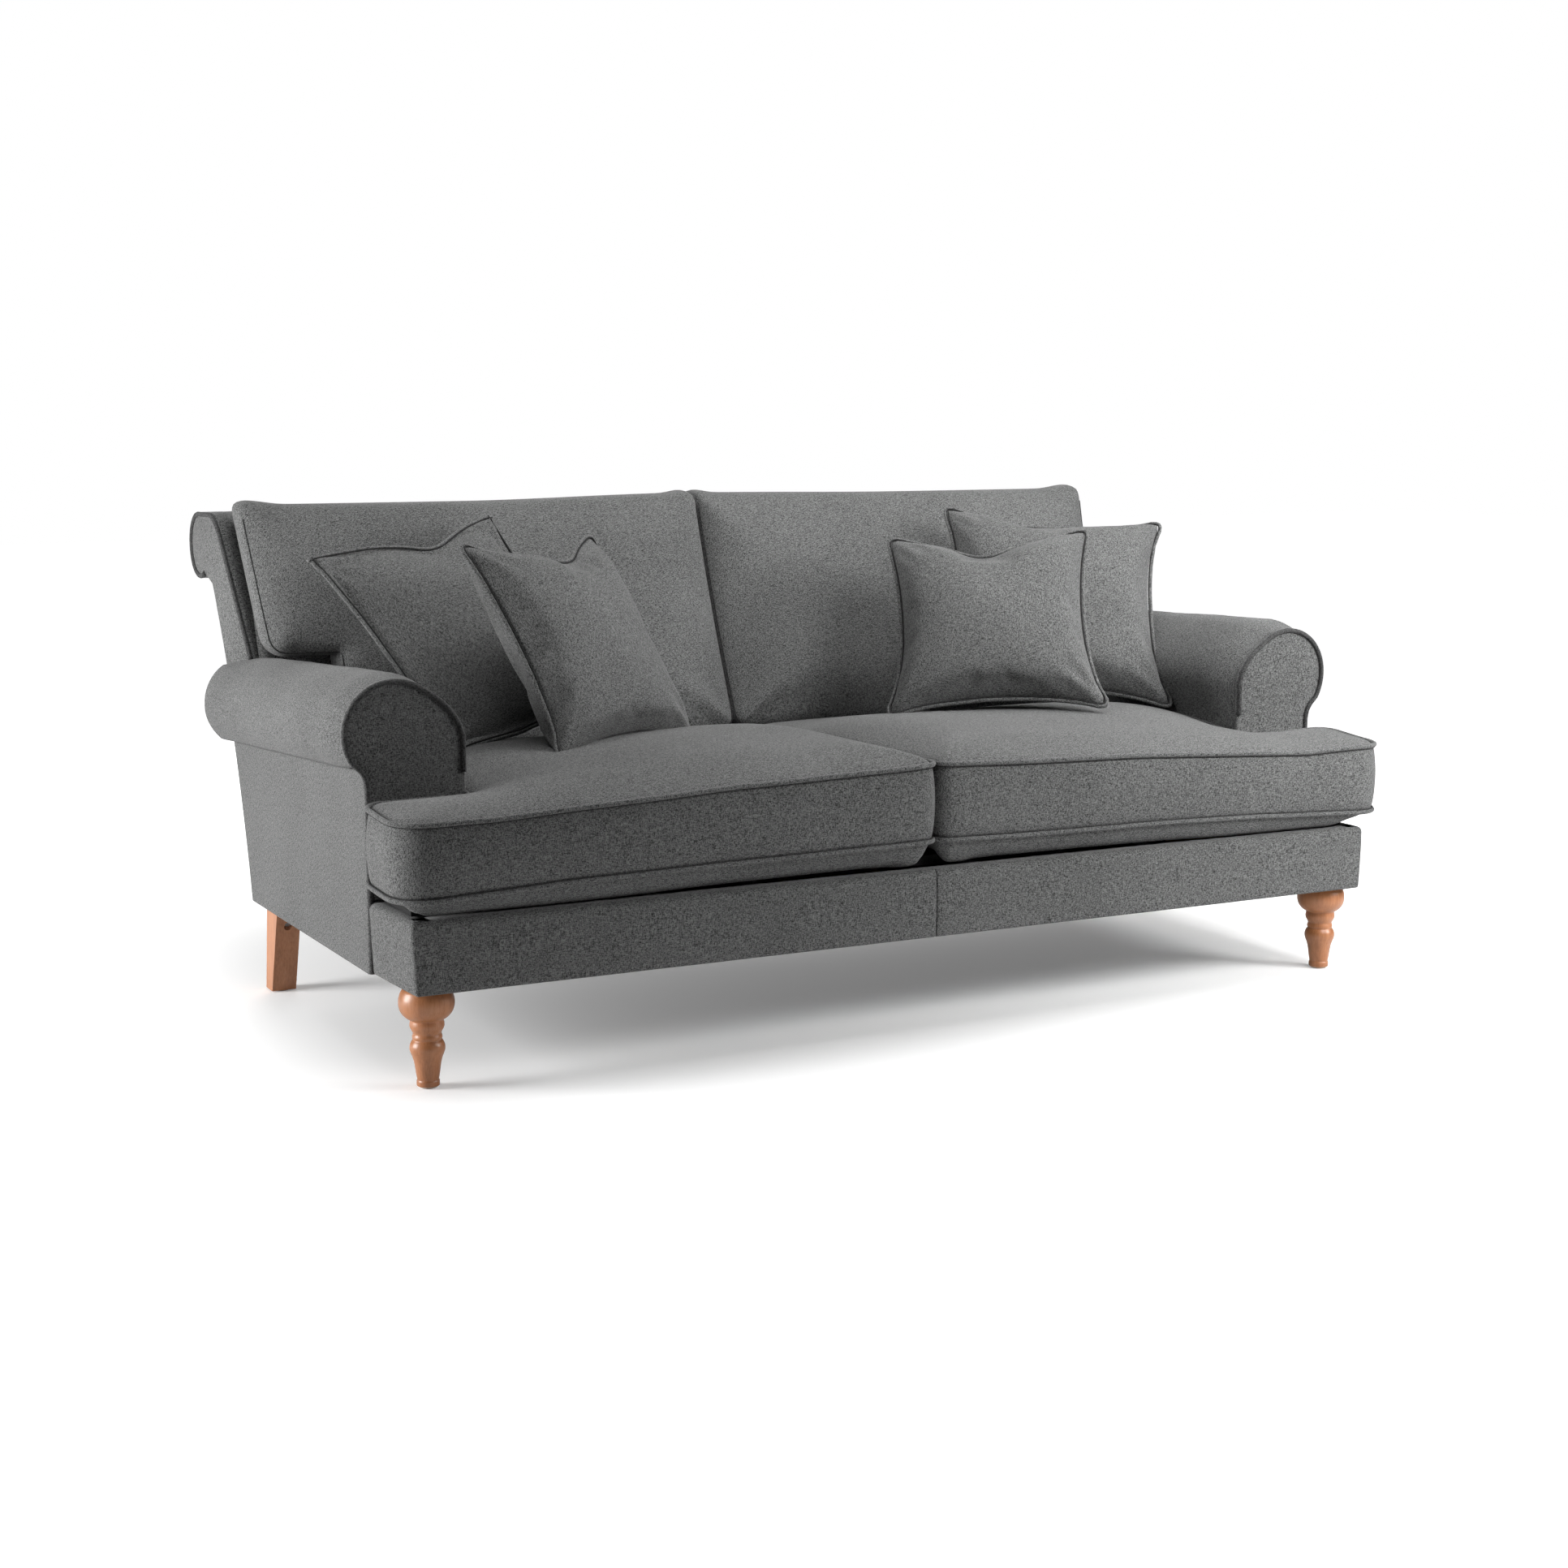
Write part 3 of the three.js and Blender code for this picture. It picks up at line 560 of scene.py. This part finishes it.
def arm_front(side, sign):
    """The facing of the arm, and the piping sewn round it."""
    lift = ARM_SHAPES[side][2]

    def place(points, depths):
        return [(sign * x, ARM_FRONT + d, z + scroll_lift(z, lift)) for (x, z), d in zip(points, depths)]

    outer_side = [(950, BASE_BOTTOM), (950, 440), (950.5, 470), (954, 484), (961, 492)]
    top = arm_outline(264, 0, 7)
    outline = np.vstack([resample(outer_side, 9), top[1:], [(929, 264), (929, BASE_BOTTOM)]])
    rows = panel(outline, [(0, 7.5), (0, 3), (1, 1.2), (3.5, 0.2), (8, 0)])
    verts, faces = capped(rows, place, -3)
    make(f"arm_front_{side}", verts, faces, FABRIC, "frame", [f"arm_facing_{side}"])

    outer_side = [(945.5, 163), (945.5, 440), (946, 468), (949.5, 483), (957.5, 493.5)]
    path = np.vstack([resample(outer_side, 8), arm_outline(480, 4.2, 7)[1:]])
    verts, faces = tube(place(path, np.full(len(path), -1.2)), PIPING_R)
    # The darker piping cloth paints the shade along the seam round the facing.
    make(f"arm_piping_{side}", verts, faces, SHADED_PIPING, "frame")


# ---- Back -----------------------------------------------------------------------------------
def scroll_outline(z0, inset, step):
    """From that height up the inside back, over the top and round the scroll, as (y, z)."""
    side = inset * 1.08                     # an inset measured across the lean of the back
    top = BACK_TOP - inset
    high = 830 - inset * 0.4
    shoulder = (inside_line(high) + side, high)
    path = [(inside_line(z0) + side, z0), shoulder]
    path += bend(shoulder, (shoulder[0] + 14, top), (1078 + inset * 0.3, top), 8)
    path += arc(SCROLL_Y, SCROLL_Z, SCROLL_R - inset, 90, -120, 30)
    return resample(path, step)


def inside_back():
    """The pad that the loose cushions lean on, and that rolls over the top rail into the scroll."""
    outer = scroll_outline(BACK_PAD_BOTTOM, 0, 10)
    outline = np.vstack([outer, scroll_outline(BACK_PAD_BOTTOM, BACK_PAD_THICK, 10)[::-1]])
    rings = []
    for x in np.linspace(0.5 - BACK_HALF, BACK_HALF - 0.5, 90):
        ring = []
        for k, (y, z) in enumerate(outline):
            puff = rumple((x, y, z), (1.5, 140, 5), (0.6, 45, 6)) if k < len(outer) else 0
            ring.append((x, y - puff * 0.5, z + puff * 0.6))
        rings.append(ring)
    verts, faces = loft(rings)
    make("inside_back", verts, faces, FABRIC, "frame", ["inside_back_pad"])


def facing_inset(y, z):
    """A back facing gets thinner downwards and forwards, where it goes in behind the arm."""
    depth = np.clip((rear_line(z) - y) / (rear_line(z) - inside_line(z)), 0, 1)
    height = np.clip((BACK_TOP - z) / (BACK_TOP - 600), 0, 1)
    return FACING_TAPER * depth * height


def back_end(side, sign):
    """The end panel of the back, with the scroll, and the piping along its front edge."""
    def place(points, heights):
        insets = [facing_inset(y, z) if h > 10 else 0 for (y, z), h in zip(points, heights)]
        return [(sign * (BACK_HALF + h - inset), y, z) for (y, z), h, inset in zip(points, heights, insets)]

    rear = [(rear_line(z) - 8.4, z) for z in np.linspace(731, 520, 24)]
    outline = np.vstack([scroll_outline(520, 0, 8), rear])
    rows = panel(outline, [(0, 0), (0, 41), (0.8, 43.6), (2.5, 44.8), (6, FACING_THICK)])
    verts, faces = capped(rows, place, 3)
    make(f"back_end_{side}", verts, faces, FABRIC, "frame", [f"back_facing_{side}"])

    path = scroll_outline(600, 4.0, 8)
    verts, faces = tube(place(path, np.full(len(path), FACING_THICK + 0.5)), PIPING_R)
    # The darker piping cloth paints the shade along the seam of the end panel.
    make(f"back_piping_{side}", verts, faces, SHADED_PIPING, "frame")


# ---- Legs -----------------------------------------------------------------------------------
# The turned leg from the floor up, as (radius, z): foot, vase, ring, bead and cup.
TURNING = [
    (16.5, 2.5), (18.1, 3.4), (18.4, 5), (18.4, 11), (18.0, 12.2), (17.2, 12.9),
    (17.3, 14.5), (18.1, 18), (19.6, 28), (20.9, 38), (22.1, 44), (23.6, 49.5), (25.7, 54.5),
    (27.4, 59), (28.3, 63), (28.2, 67), (27.3, 71), (25.4, 75), (23.2, 77.6), (22.6, 78.8),
    (23.6, 79.8), (24.0, 81.6), (23.8, 84), (22.9, 86.4), (22.3, 88.2),
    (22.8, 90), (24.6, 93), (26.6, 96.6), (27.6, 100), (27.6, 103.5), (26.9, 107), (26.2, 109.4),
    (26.6, 110.8), (29.5, 111.8), (33, 114), (36.9, 117.4), (40.6, 122), (43.3, 128),
    (44.5, 134.5), (44.5, 141), (43.6, 147), (41.5, 153), (38, 159), (36, 161.7),
]


def front_leg(side, sign):
    """A turned leg, round about its axis."""
    turns = np.linspace(0, 2 * math.pi, 56, endpoint=False)
    rings = [[(sign * LEG_X + r * math.cos(a), LEG_Y + r * math.sin(a), z) for a in turns]
             for r, z in TURNING]
    verts, faces = loft(rings)
    leg = make(f"turned_leg_{side}", verts, faces, BEECH, "frame", [f"front_leg_{side}"])
    subdivide(leg)


# ---- Cushions -------------------------------------------------------------------------------
def outer_loop(quads):
    """The rim of a sheet of quads, as point numbers in order."""
    edges = [edge for quad in quads for edge in zip(quad, quad[1:] + quad[:1])]
    both = set(edges)
    nexts = {a: b for a, b in edges if (b, a) not in both}
    loop = [next(iter(nexts))]
    while nexts[loop[-1]] != loop[0]:
        loop.append(nexts[loop[-1]])
    return loop


def rounded(plan, corners):
    """Turns each square corner (u, v, side u, side v, radius) into a quarter circle."""
    for u0, v0, su, sv, r in corners:
        # a and b are 0 at the centre of the quarter circle and 1 on the two sides.
        a = (r - su * (u0 - plan[:, 0])) / r
        b = (r - sv * (v0 - plan[:, 1])) / r
        here = (a > 0) & (b > 0)
        scale = np.ones(len(plan))
        scale[here] = np.maximum(a, b)[here] / np.hypot(a, b)[here]
        plan[here, 0] = u0 - su * r + su * r * (a * scale)[here]
        plan[here, 1] = v0 - sv * r + sv * r * (b * scale)[here]
    return plan


class Pad:
    """A boxed cushion over a plan of square cells: two panels and a border between two seams."""

    def __init__(self, us, vs, inside, corners, rows):
        self.rows = rows                    # rows of faces up the border
        ids, self.quads = {}, []
        for i, j in np.ndindex(len(us) - 1, len(vs) - 1):
            if inside((us[i] + us[i + 1]) / 2, (vs[j] + vs[j + 1]) / 2):
                keys = ((i, j), (i + 1, j), (i + 1, j + 1), (i, j + 1))
                self.quads.append(tuple(ids.setdefault(key, len(ids)) for key in keys))
        self.plan = rounded(np.array([(us[i], vs[j]) for i, j in ids], float), corners)
        self.loop = outer_loop(self.quads)
        self.lower_loop = [len(self.plan) + k for k in self.loop]
        rim = self.plan[self.loop]
        self.distance = np.linalg.norm(self.plan[:, None] - rim[None], axis=2).min(1)
        along = tangents(rim, closed=True)
        self.outward = np.column_stack([along[:, 1], -along[:, 0]])

    def build(self, upper, lower, bulge):
        """A mesh from the heights of both panels at every plan point."""
        n, m = len(self.plan), len(self.loop)
        verts = [np.column_stack([self.plan, upper]), np.column_stack([self.plan, lower])]
        faces = self.quads + [tuple(n + k for k in quad[::-1]) for quad in self.quads]
        rings = [self.loop]
        for row in range(1, self.rows):
            t = row / self.rows
            rim = self.plan[self.loop] + self.outward * (bulge * math.sin(math.pi * t) ** 0.7)
            verts.append(np.column_stack([rim, (1 - t) * upper[self.loop] + t * lower[self.loop]]))
            rings.append(range(2 * n + (row - 1) * m, 2 * n + row * m))
        rings.append(self.lower_loop)
        for above, below in zip(rings, rings[1:]):
            for k in range(m):
                after = (k + 1) % m
                faces.append((above[k], below[k], below[after], above[after]))
        return np.vstack(verts), faces


# How every cover behaves as cloth; its stiffness, pressure and shrinking are set for each.
CLOTH = {
    "quality": 6, "mass": 0.25, "bending_stiffness": 0.6, "tension_damping": 12,
    "compression_damping": 12, "shear_damping": 12, "air_damping": 3, "use_pressure": True,
    "vertex_group_mass": "seams", "pin_stiffness": 2.0,
}


def settle(piece, steps, stiffness, pressure, shrink):
    """Runs the cloth and returns where its points come to rest; the piece itself is left as it was."""
    cloth = piece.modifiers.new("filling", "CLOTH")
    own = {"tension_stiffness": stiffness, "compression_stiffness": stiffness * 0.6,
           "shear_stiffness": stiffness * 0.4, "uniform_pressure_force": pressure, "shrink_min": shrink}
    for name, value in {**CLOTH, **own}.items():
        setattr(cloth.settings, name, value)
    cloth.settings.effector_weights.gravity = 0
    cloth.collision_settings.use_collision = False
    cloth.collision_settings.use_self_collision = False
    cloth.point_cache.frame_start = 1
    cloth.point_cache.frame_end = steps
    for step in range(1, steps + 1):
        scene.frame_set(step)
    settled = piece.evaluated_get(bpy.context.evaluated_depsgraph_get())
    points = np.array([v.co for v in settled.data.vertices])
    piece.modifiers.remove(cloth)
    scene.frame_set(1)
    return points


def inflate(piece, pinned, pressure, steps, shrink, furthest, stiffness=8.0):
    """Lets the fabric settle under the filling's pressure, then keeps the result as the mesh."""
    start = np.array([v.co for v in piece.data.vertices])
    seams = piece.vertex_groups.new(name="seams")
    if pinned:
        seams.add(pinned, 1.0, "REPLACE")
    move = settle(piece, steps, stiffness, pressure, shrink) - start
    piece.vertex_groups.remove(seams)
    # No point moves further than the limit, and none near it moves all the way.
    length = np.linalg.norm(move, axis=1)
    limit = furthest / 1000
    scale = np.where(length > 1e-9, limit * np.tanh(length / limit) / np.maximum(length, 1e-9), 1)
    piece.data.vertices.foreach_set("co", (start + move * scale[:, None]).ravel())
    piece.data.update()


def seam_points(piece, loop):
    """Where the seam lies on the piece, in millimetres."""
    return np.array([piece.data.vertices[k].co for k in loop]) * 1000


def cord(name, body, path, radius, material, matrix=Matrix.Identity(4), closed=True, sides=10):
    """Piping of a cushion, or a dark cord of painted shade beside a seam, along points taken from the settled
    fabric.
    """
    verts, faces = tube(path, radius, closed, sides)
    make(name, verts, faces, material, body, matrix=matrix)


def cells(*stops):
    """Grid lines about one cell apart, with a line at each stop."""
    lines = [stops[0]]
    for low, high in zip(stops, stops[1:]):
        count = max(2, int(round((high - low) / CELL)) + 1)
        lines += list(np.linspace(low, high, count))[1:]
    return lines


def deck_level(y):
    """What a seat cushion rests on: the front edge of the base, then the deck."""
    return EDGE_LEVEL + (DECK_LEVEL - EDGE_LEVEL) * smooth(26, 46, y)


def seat_plan(ear):
    """The L of a seat cushion: its ear reaches in front of the arm."""
    inner, rear, ear_rear, low, front = 776, 810, 168, 3, -3
    corners = [(ear, front, 1, -1, 62), (low, front, -1, -1, 26), (ear, ear_rear, 1, 1, 30),
               (low, rear, -1, 1, 22), (inner, rear, 1, 1, 22)]
    us, vs = cells(low, inner, ear), cells(front, ear_rear, rear)
    return Pad(us, vs, lambda u, v: u < inner or v < ear_rear, corners, rows=10)


def seat_levels(pad, sign, ear_droop, ear_sag):
    """Heights of the upper and lower panels of a seat cushion."""
    x, y, d = pad.plan[:, 0], pad.plan[:, 1], pad.distance
    # Both seams sink towards the ear, and most along the front.
    forward = smooth(420, 20, y)
    upper_droop = np.interp(x, [0, 236, 396, 600, 800, 925], [0, 8, 12, 22, 32, ear_droop]) * forward
    lower_droop = np.interp(x, [0, 240, 500, 683, 925], [0, 4, 7, 11, 22]) * forward
    crown = (26 - 11 * smooth(640, 860, x)) * (1 - 0.6 * smooth(430, 790, y)) * dome(d, 125)
    creases = np.array([rumple((a, b, 0), (2.6, 190, 7 + sign), (0.6, 70, 9 + sign)) for a, b in zip(x, y)])
    wave = np.array([1.6 * ripple((a, b, 5), 150, 21 + sign) for a, b in zip(x, y)])
    pitch = SEAT_PITCH * smooth(300, 760, y)
    upper = SEAT_TOP - upper_droop - pitch + crown + creases * smooth(0, 60, d) + wave
    sag = 50 - ear_sag * smooth(820, 950, x)
    lower = SEAT_BOTTOM - lower_droop - sag * dome(d, 32) + wave
    return upper, np.maximum(lower, deck_level(y))


def seat_cushion(side, sign, ear, ear_droop, ear_sag):
    """L-shaped boxed cushion. It is drawn for the +X side, then turned over for the other."""
    pad = seat_plan(ear)
    verts, faces = pad.build(*seat_levels(pad, sign, ear_droop, ear_sag), bulge=7)
    body = f"seat_cushion_{side}"
    piece = make(f"seat_pad_{side}", verts * (sign, 1, 1), faces, FABRIC, body, [body])
    inflate(piece, pad.loop + pad.lower_loop, pressure=2.2, steps=16, shrink=0.0, furthest=11)
    for vertex in piece.data.vertices:
        vertex.co.z = max(vertex.co.z, deck_level((vertex.co.y - BASE_FRONT) * 1000) / 1000)
    outward = np.column_stack([pad.outward * (sign, 1), np.zeros(len(pad.loop))])
    for label, loop, below in (("upper", pad.loop, 4.4), ("lower", pad.lower_loop, -4.4)):
        seam = seam_points(piece, loop)
        cord(f"seat_piping_{label}_{side}", body, seam + outward * 3.0, 4.3, FABRIC)
        # A thin dark cord beside each piping paints the shade in the seam's crease.
        cord(f"seat_seam_shade_{label}_{side}", body, seam + outward * 3.2 - (0, 0, below), 1.5, SEAM_SHADE, sides=6)
    subdivide(piece)


def back_plan(outer, ear_bottom):
    """The L of a back cushion: its ear reaches over the arm."""
    low, inner = 3, BACK_CUSHION_INNER
    bottom, top = BACK_CUSHION_BOTTOM, BACK_CUSHION_TOP
    corners = [(outer, top, 1, 1, 9), (low, top, -1, 1, 12), (outer, ear_bottom, 1, -1, 26),
               (low, bottom, -1, -1, 24), (inner, bottom, 1, -1, 24)]
    us, vs = cells(low, inner, outer), cells(bottom, ear_bottom, top)
    return Pad(us, vs, lambda u, v: u < inner or v > ear_bottom, corners, rows=8)


def back_depths(pad, sign, outer):
    """y of both panels before they lean: the front one crowned, the rear one nearly flat."""
    x, z, d = pad.plan[:, 0], pad.plan[:, 1], pad.distance
    creases = np.array([rumple((a, 0, b), (4.0, 150, 11 + sign), (1.5, 55, 13 + sign)) for a, b in zip(x, z)])
    crown = 32 * dome(d, 120)
    thinner = 22 * smooth(BACK_CUSHION_INNER - 40, outer, x)      # the ear is thinner than the rest
    front = BACK_CUSHION_FRONT + thinner - crown - creases * smooth(0, 60, d)
    return front, BACK_CUSHION_REAR + 10 * dome(d, 60)


def leant(points, sign, outer, sink):
    """Stands a back cushion up, given as (across, height, distance in front)."""
    across, height, ahead = points.T
    top = BACK_CUSHION_TOP
    # The lean is measured from the seat, and the cushion sags into a shallow curve.
    seat, sag = 479, 7
    up = np.clip((height - BACK_CUSHION_BOTTOM) / (top - BACK_CUSHION_BOTTOM), 0, 1)
    lean = RAKE * (height - seat) + sag * np.sin(np.pi * up)
    # The outer end runs inwards on the way down.
    taper = 24 * np.clip((888 - height) / 280, 0, 1) * smooth(BACK_CUSHION_INNER - 30, outer, across)
    # The top edge hangs a little towards the ear, and peaks beside the other cushion and at the ear's end.
    level = 7 * smooth(60, 5, across) - sink * smooth(20, 480, across)
    level += 8 * smooth(outer - 90, outer - 10, across)
    height = height + level * smooth(720, top, height)
    return np.column_stack([sign * (across - taper), lean - ahead, height])


def back_cushion(side, sign, outer, ear_bottom, sink):
    """L-shaped cushion that leans on the inside back, with an ear over the arm."""
    pad = back_plan(outer, ear_bottom)
    front, rear = back_depths(pad, sign, outer)
    verts, faces = pad.build(-front, -rear, bulge=9)
    body = f"back_cushion_{side}"
    points = leant(verts, sign, outer, sink)
    piece = make(f"back_pad_{side}", points, faces, FABRIC, body, [body])
    inflate(piece, pad.loop + pad.lower_loop, pressure=1.5, steps=16, shrink=0.004, furthest=12)
    # The front seam's painted shade, a dark cord, shows down both ends and along the bottom, but not along
    # the rounded top.
    seam = seam_points(piece, pad.loop)
    shown = seam[:, 2] < 868
    first = next(k for k in range(len(seam)) if shown[k] and not shown[k - 1])
    seam, shown = np.roll(seam, -first, 0), np.roll(shown, -first)
    cord(f"back_seam_shade_{side}", body, seam[:np.argmin(shown)], 1.0, SEAM_SHADE, closed=False, sides=6)
    subdivide(piece)


# Each scatter cushion leans back, tilts in its own plane and turns about the upright. Its chop says
# how deep the top edge is pressed in, and where: 0 is the middle and 1 the right-hand corner.
SCATTERS = {
    "large_scatter_right": dict(size=466, thickness=120, at=(636, 596, 666), lean=40, tilt=5, turn=-23,
                                seed=31, chop=(6, -0.2)),
    "small_scatter_right": dict(size=420, thickness=116, at=(410, 474, 650), lean=40, tilt=-3.8, turn=-33.5,
                                seed=32, chop=(20, -0.05)),
    "large_scatter_left": dict(size=466, thickness=114, at=(-600, 628, 663), lean=41.5, tilt=-10.2, turn=16.8,
                               seed=33, chop=(16, 0.2)),
    "small_scatter_left": dict(size=424, thickness=110, at=(-461, 456, 646), lean=31, tilt=0.9, turn=32.5,
                               seed=34, chop=(16, 0.35)),
}


def sheet_point(u, v, size, thickness, seed, chop):
    """A point of either sheet as (x, how far it stands out, z); u and v run from -1 to 1 across it."""
    half, corner = size / 2, 20
    rise = 0.5 * thickness * ((1 - u * u) * (1 - v * v)) ** 0.5
    rise *= 1 + 0.12 * ripple((u * 100, v * 100, 0), 70, seed)
    # Creases fan out of each corner.
    reach = math.hypot(1 - abs(u), 1 - abs(v)) * half
    slant = math.atan2(1 - abs(v), 1 - abs(u)) + 0.35 * ripple((u, v, 0), 1.5, seed)
    rise += 3.6 * math.cos(slant * 12) * math.exp(-((reach - 62) / 38) ** 2)
    # The sides draw in between the corners, and the corners are a little rounded.
    x, z = half * u * (1 - 0.09 * (1 - v * v)), half * v * (1 - 0.08 * (1 - u * u))
    a, b = (corner - half + abs(x)) / corner, (corner - half + abs(z)) / corner
    if a > 0 and b > 0:
        ease = max(a, b) / math.hypot(a, b)
        x = math.copysign(half - corner + corner * a * ease, x)
        z = math.copysign(half - corner + corner * b * ease, z)
    depth, middle = chop
    dent = math.exp(-((u - middle) / 0.28) ** 2) * smooth(0.1, 1, v)
    return x, rise * (1 - 0.02 * depth * dent), z - depth * dent


def sewn_sheets(n, point):
    """Two grids of n by n cells that share their rim, and the rim's points in order."""
    ids, verts, faces = [{}, {}], [], []
    for face, out in ((0, -1), (1, 1)):
        for i, j in np.ndindex(n + 1, n + 1):
            on_rim = i in (0, n) or j in (0, n)
            if on_rim and face:
                ids[1][i, j] = ids[0][i, j]
                continue
            ids[face][i, j] = len(verts)
            x, rise, z = point(2 * i / n - 1, 2 * j / n - 1)
            verts.append((x, 0 if on_rim else out * rise, z))
        for i, j in np.ndindex(n, n):
            faces.append(tuple(ids[face][k] for k in ((i, j), (i + 1, j), (i + 1, j + 1), (i, j + 1))))
    rim = [(i, 0) for i in range(n)] + [(n, j) for j in range(n)]
    rim += [(i, n) for i in range(n, 0, -1)] + [(0, j) for j in range(n, 0, -1)]
    return verts, faces, [ids[0][k] for k in rim]


def scatter_pose(at, lean, tilt, turn):
    """Where a cushion's centre goes and how it leans, as a matrix in the part's frame."""
    pose = Matrix.Translation((at[0] / 1000, at[1] / 1000 + BASE_FRONT, at[2] / 1000))
    pose @= Matrix.Rotation(math.radians(turn), 4, "Z") @ Matrix.Rotation(-math.radians(lean), 4, "X")
    return pose @ Matrix.Rotation(math.radians(tilt), 4, "Y")


def scatter_cushion(body, size, thickness, at, lean, tilt, turn, seed, chop):
    """Knife-edged cushion: two square sheets sewn at the rim and blown up by their filling."""
    across = 44                             # cells along each side
    verts, faces, rim = sewn_sheets(across, lambda u, v: sheet_point(u, v, size, thickness, seed, chop))
    pose = scatter_pose(at, lean, tilt, turn)
    piece = make(body + "_pad", verts, faces, FABRIC, body, [body], matrix=pose)
    inflate(piece, [], pressure=3.0, steps=20, shrink=-0.03, furthest=18, stiffness=12)
    path = seam_points(piece, rim)
    out = path - path.mean(0)
    out[:, 1] = 0
    out /= np.linalg.norm(out, axis=1)[:, None]
    place = piece.matrix_world.copy()
    cord(f"{body}_piping", body, path + out * 2.5, 3.8, FABRIC, place, sides=8)
    # The thin dark cord inside the piping paints the shade in the seam's crease.
    cord(f"{body}_seam", body, path - out * 1.6 - (0, 3.4, 0), 1.5, SEAM_SHADE, place, sides=8)
    subdivide(piece)


# ---- Assembly -------------------------------------------------------------------------------
for side, sign in SIDES:
    base_cover(side, sign)
    arm_roll(side, sign)
    arm_front(side, sign)
    back_end(side, sign)
    front_leg(side, sign)
    soften(frame["nodes"][f"arm_outer_cover_{side}"], 3)
    soften(frame["nodes"][f"back_leg_{side}"], 1.5)
back_cushion("right", 1, outer=944, ear_bottom=636, sink=5)
back_cushion("left", -1, outer=922, ear_bottom=616, sink=9)
inside_back()
soften(frame["nodes"]["outside_back_cover"], 2)
seat_cushion("right", 1, ear=988, ear_droop=29, ear_sag=34)
seat_cushion("left", -1, ear=957, ear_droop=33, ear_sag=8)
for body, values in SCATTERS.items():
    scatter_cushion(body, **values)


# ---- Floor, light and camera ----------------------------------------------------------------
def floor_glow(n):
    """Painted light from the floor itself, seen by the camera only, that grows with the distance from the
    sofa, so the floor is painted darker round the sofa as a shadow.
    """
    reach = n.add("ShaderNodeVectorMath", operation="LENGTH")
    n.join(n.scaled((1, 1.25, 1)), reach.inputs[0])
    glow = n.add("ShaderNodeMapRange", interpolation_type="SMOOTHSTEP")
    for name, value in (("From Min", 0.6), ("From Max", 2.6), ("To Min", 0.16), ("To Max", 1.0)):
        glow.inputs[name].default_value = value
    n.join(reach.outputs["Value"], glow.inputs["Value"])
    seen = n.add("ShaderNodeLightPath")
    return n.maths("MULTIPLY", glow.outputs["Result"], seen.outputs["Is Camera Ray"])


def floor():
    """Pale studio floor that runs into the white backdrop, with a painted glow and a painted shadow round the
    sofa.
    """
    mesh = bpy.data.meshes.new("floor")
    half = 16.0
    mesh.from_pydata([(-half, -half, 0), (half, -half, 0), (half, half, 0), (-half, half, 0)], [],
                     [(0, 1, 2, 3)])
    n = Nodes("floor_white")
    n.put(Base_Color=(0.86, 0.86, 0.86, 1), Roughness=0.9, Specular_IOR_Level=0.1)
    n.put(Emission_Color=(1, 1, 1, 1))
    n.feed(floor_glow(n), "Emission Strength")
    mesh.materials.append(n.material)
    plane = bpy.data.objects.new("floor", mesh)
    scene.collection.objects.link(plane)


def area_light(name, at, towards, size, power, spread=180):
    """A softbox at a place in metres, turned towards another."""
    data = bpy.data.lights.new(name, "AREA")
    data.shape = "RECTANGLE"
    data.size, data.size_y = size
    data.energy = power
    data.spread = math.radians(spread)
    light = bpy.data.objects.new(name, data)
    light.location = at
    light.rotation_euler = (Vector(towards) - Vector(at)).to_track_quat("-Z", "Y").to_euler()
    scene.collection.objects.link(light)


def camera():
    """From the left front, a little above the sofa, looking down at it."""
    downwards, to_the_right = 8.72, 27.84
    data = bpy.data.cameras.new("camera")
    data.lens = 55.84
    data.sensor_width = 36
    data.clip_end = 60
    cam = bpy.data.objects.new("camera", data)
    cam.location = (-2.1401, -3.4914 + BASE_FRONT, 1.0551)
    cam.rotation_euler = (math.radians(90 - downwards), 0, -math.radians(to_the_right))
    scene.collection.objects.link(cam)
    scene.camera = cam


def world():
    """A white backdrop, which lights the sofa only softly."""
    backdrop = bpy.data.worlds.new("studio")
    backdrop.use_nodes = True
    tree = backdrop.node_tree
    background = tree.nodes["Background"]
    background.inputs["Color"].default_value = (1, 1, 1, 1)
    path = tree.nodes.new("ShaderNodeLightPath")
    strength = tree.nodes.new("ShaderNodeMapRange")
    strength.inputs["To Min"].default_value = 0.04
    strength.inputs["To Max"].default_value = 1.0
    tree.links.new(path.outputs["Is Camera Ray"], strength.inputs["Value"])
    tree.links.new(strength.outputs["Result"], background.inputs["Strength"])
    scene.world = backdrop


floor()
world()
camera()
scene.view_settings.view_transform = "Standard"
area_light("left_softbox", (-3.1, 0.3, 0.85), (-0.9, 0.1, 0.4), (1.2, 1.2), 85)
area_light("top_right_softbox", (1.1, -0.3, 2.4), (0.6, 0.1, 0.4), (1.2, 1.2), 38)
area_light("top_left_softbox", (-0.9, -0.2, 2.4), (-0.6, 0.1, 0.4), (1.2, 1.2), 19)
area_light("front_softbox", (0.9, -1.9, 1.5), (0.9, -0.2, 0.45), (0.8, 0.8), 8, spread=100)
area_light("right_front_softbox", (2.1, -1.9, 1.3), (0.7, -0.2, 0.45), (0.8, 0.8), 13, spread=90)
area_light("rear_fill", (0.3, 3.3, 1.5), (0, 0.4, 0.5), (1.6, 1.6), 40)
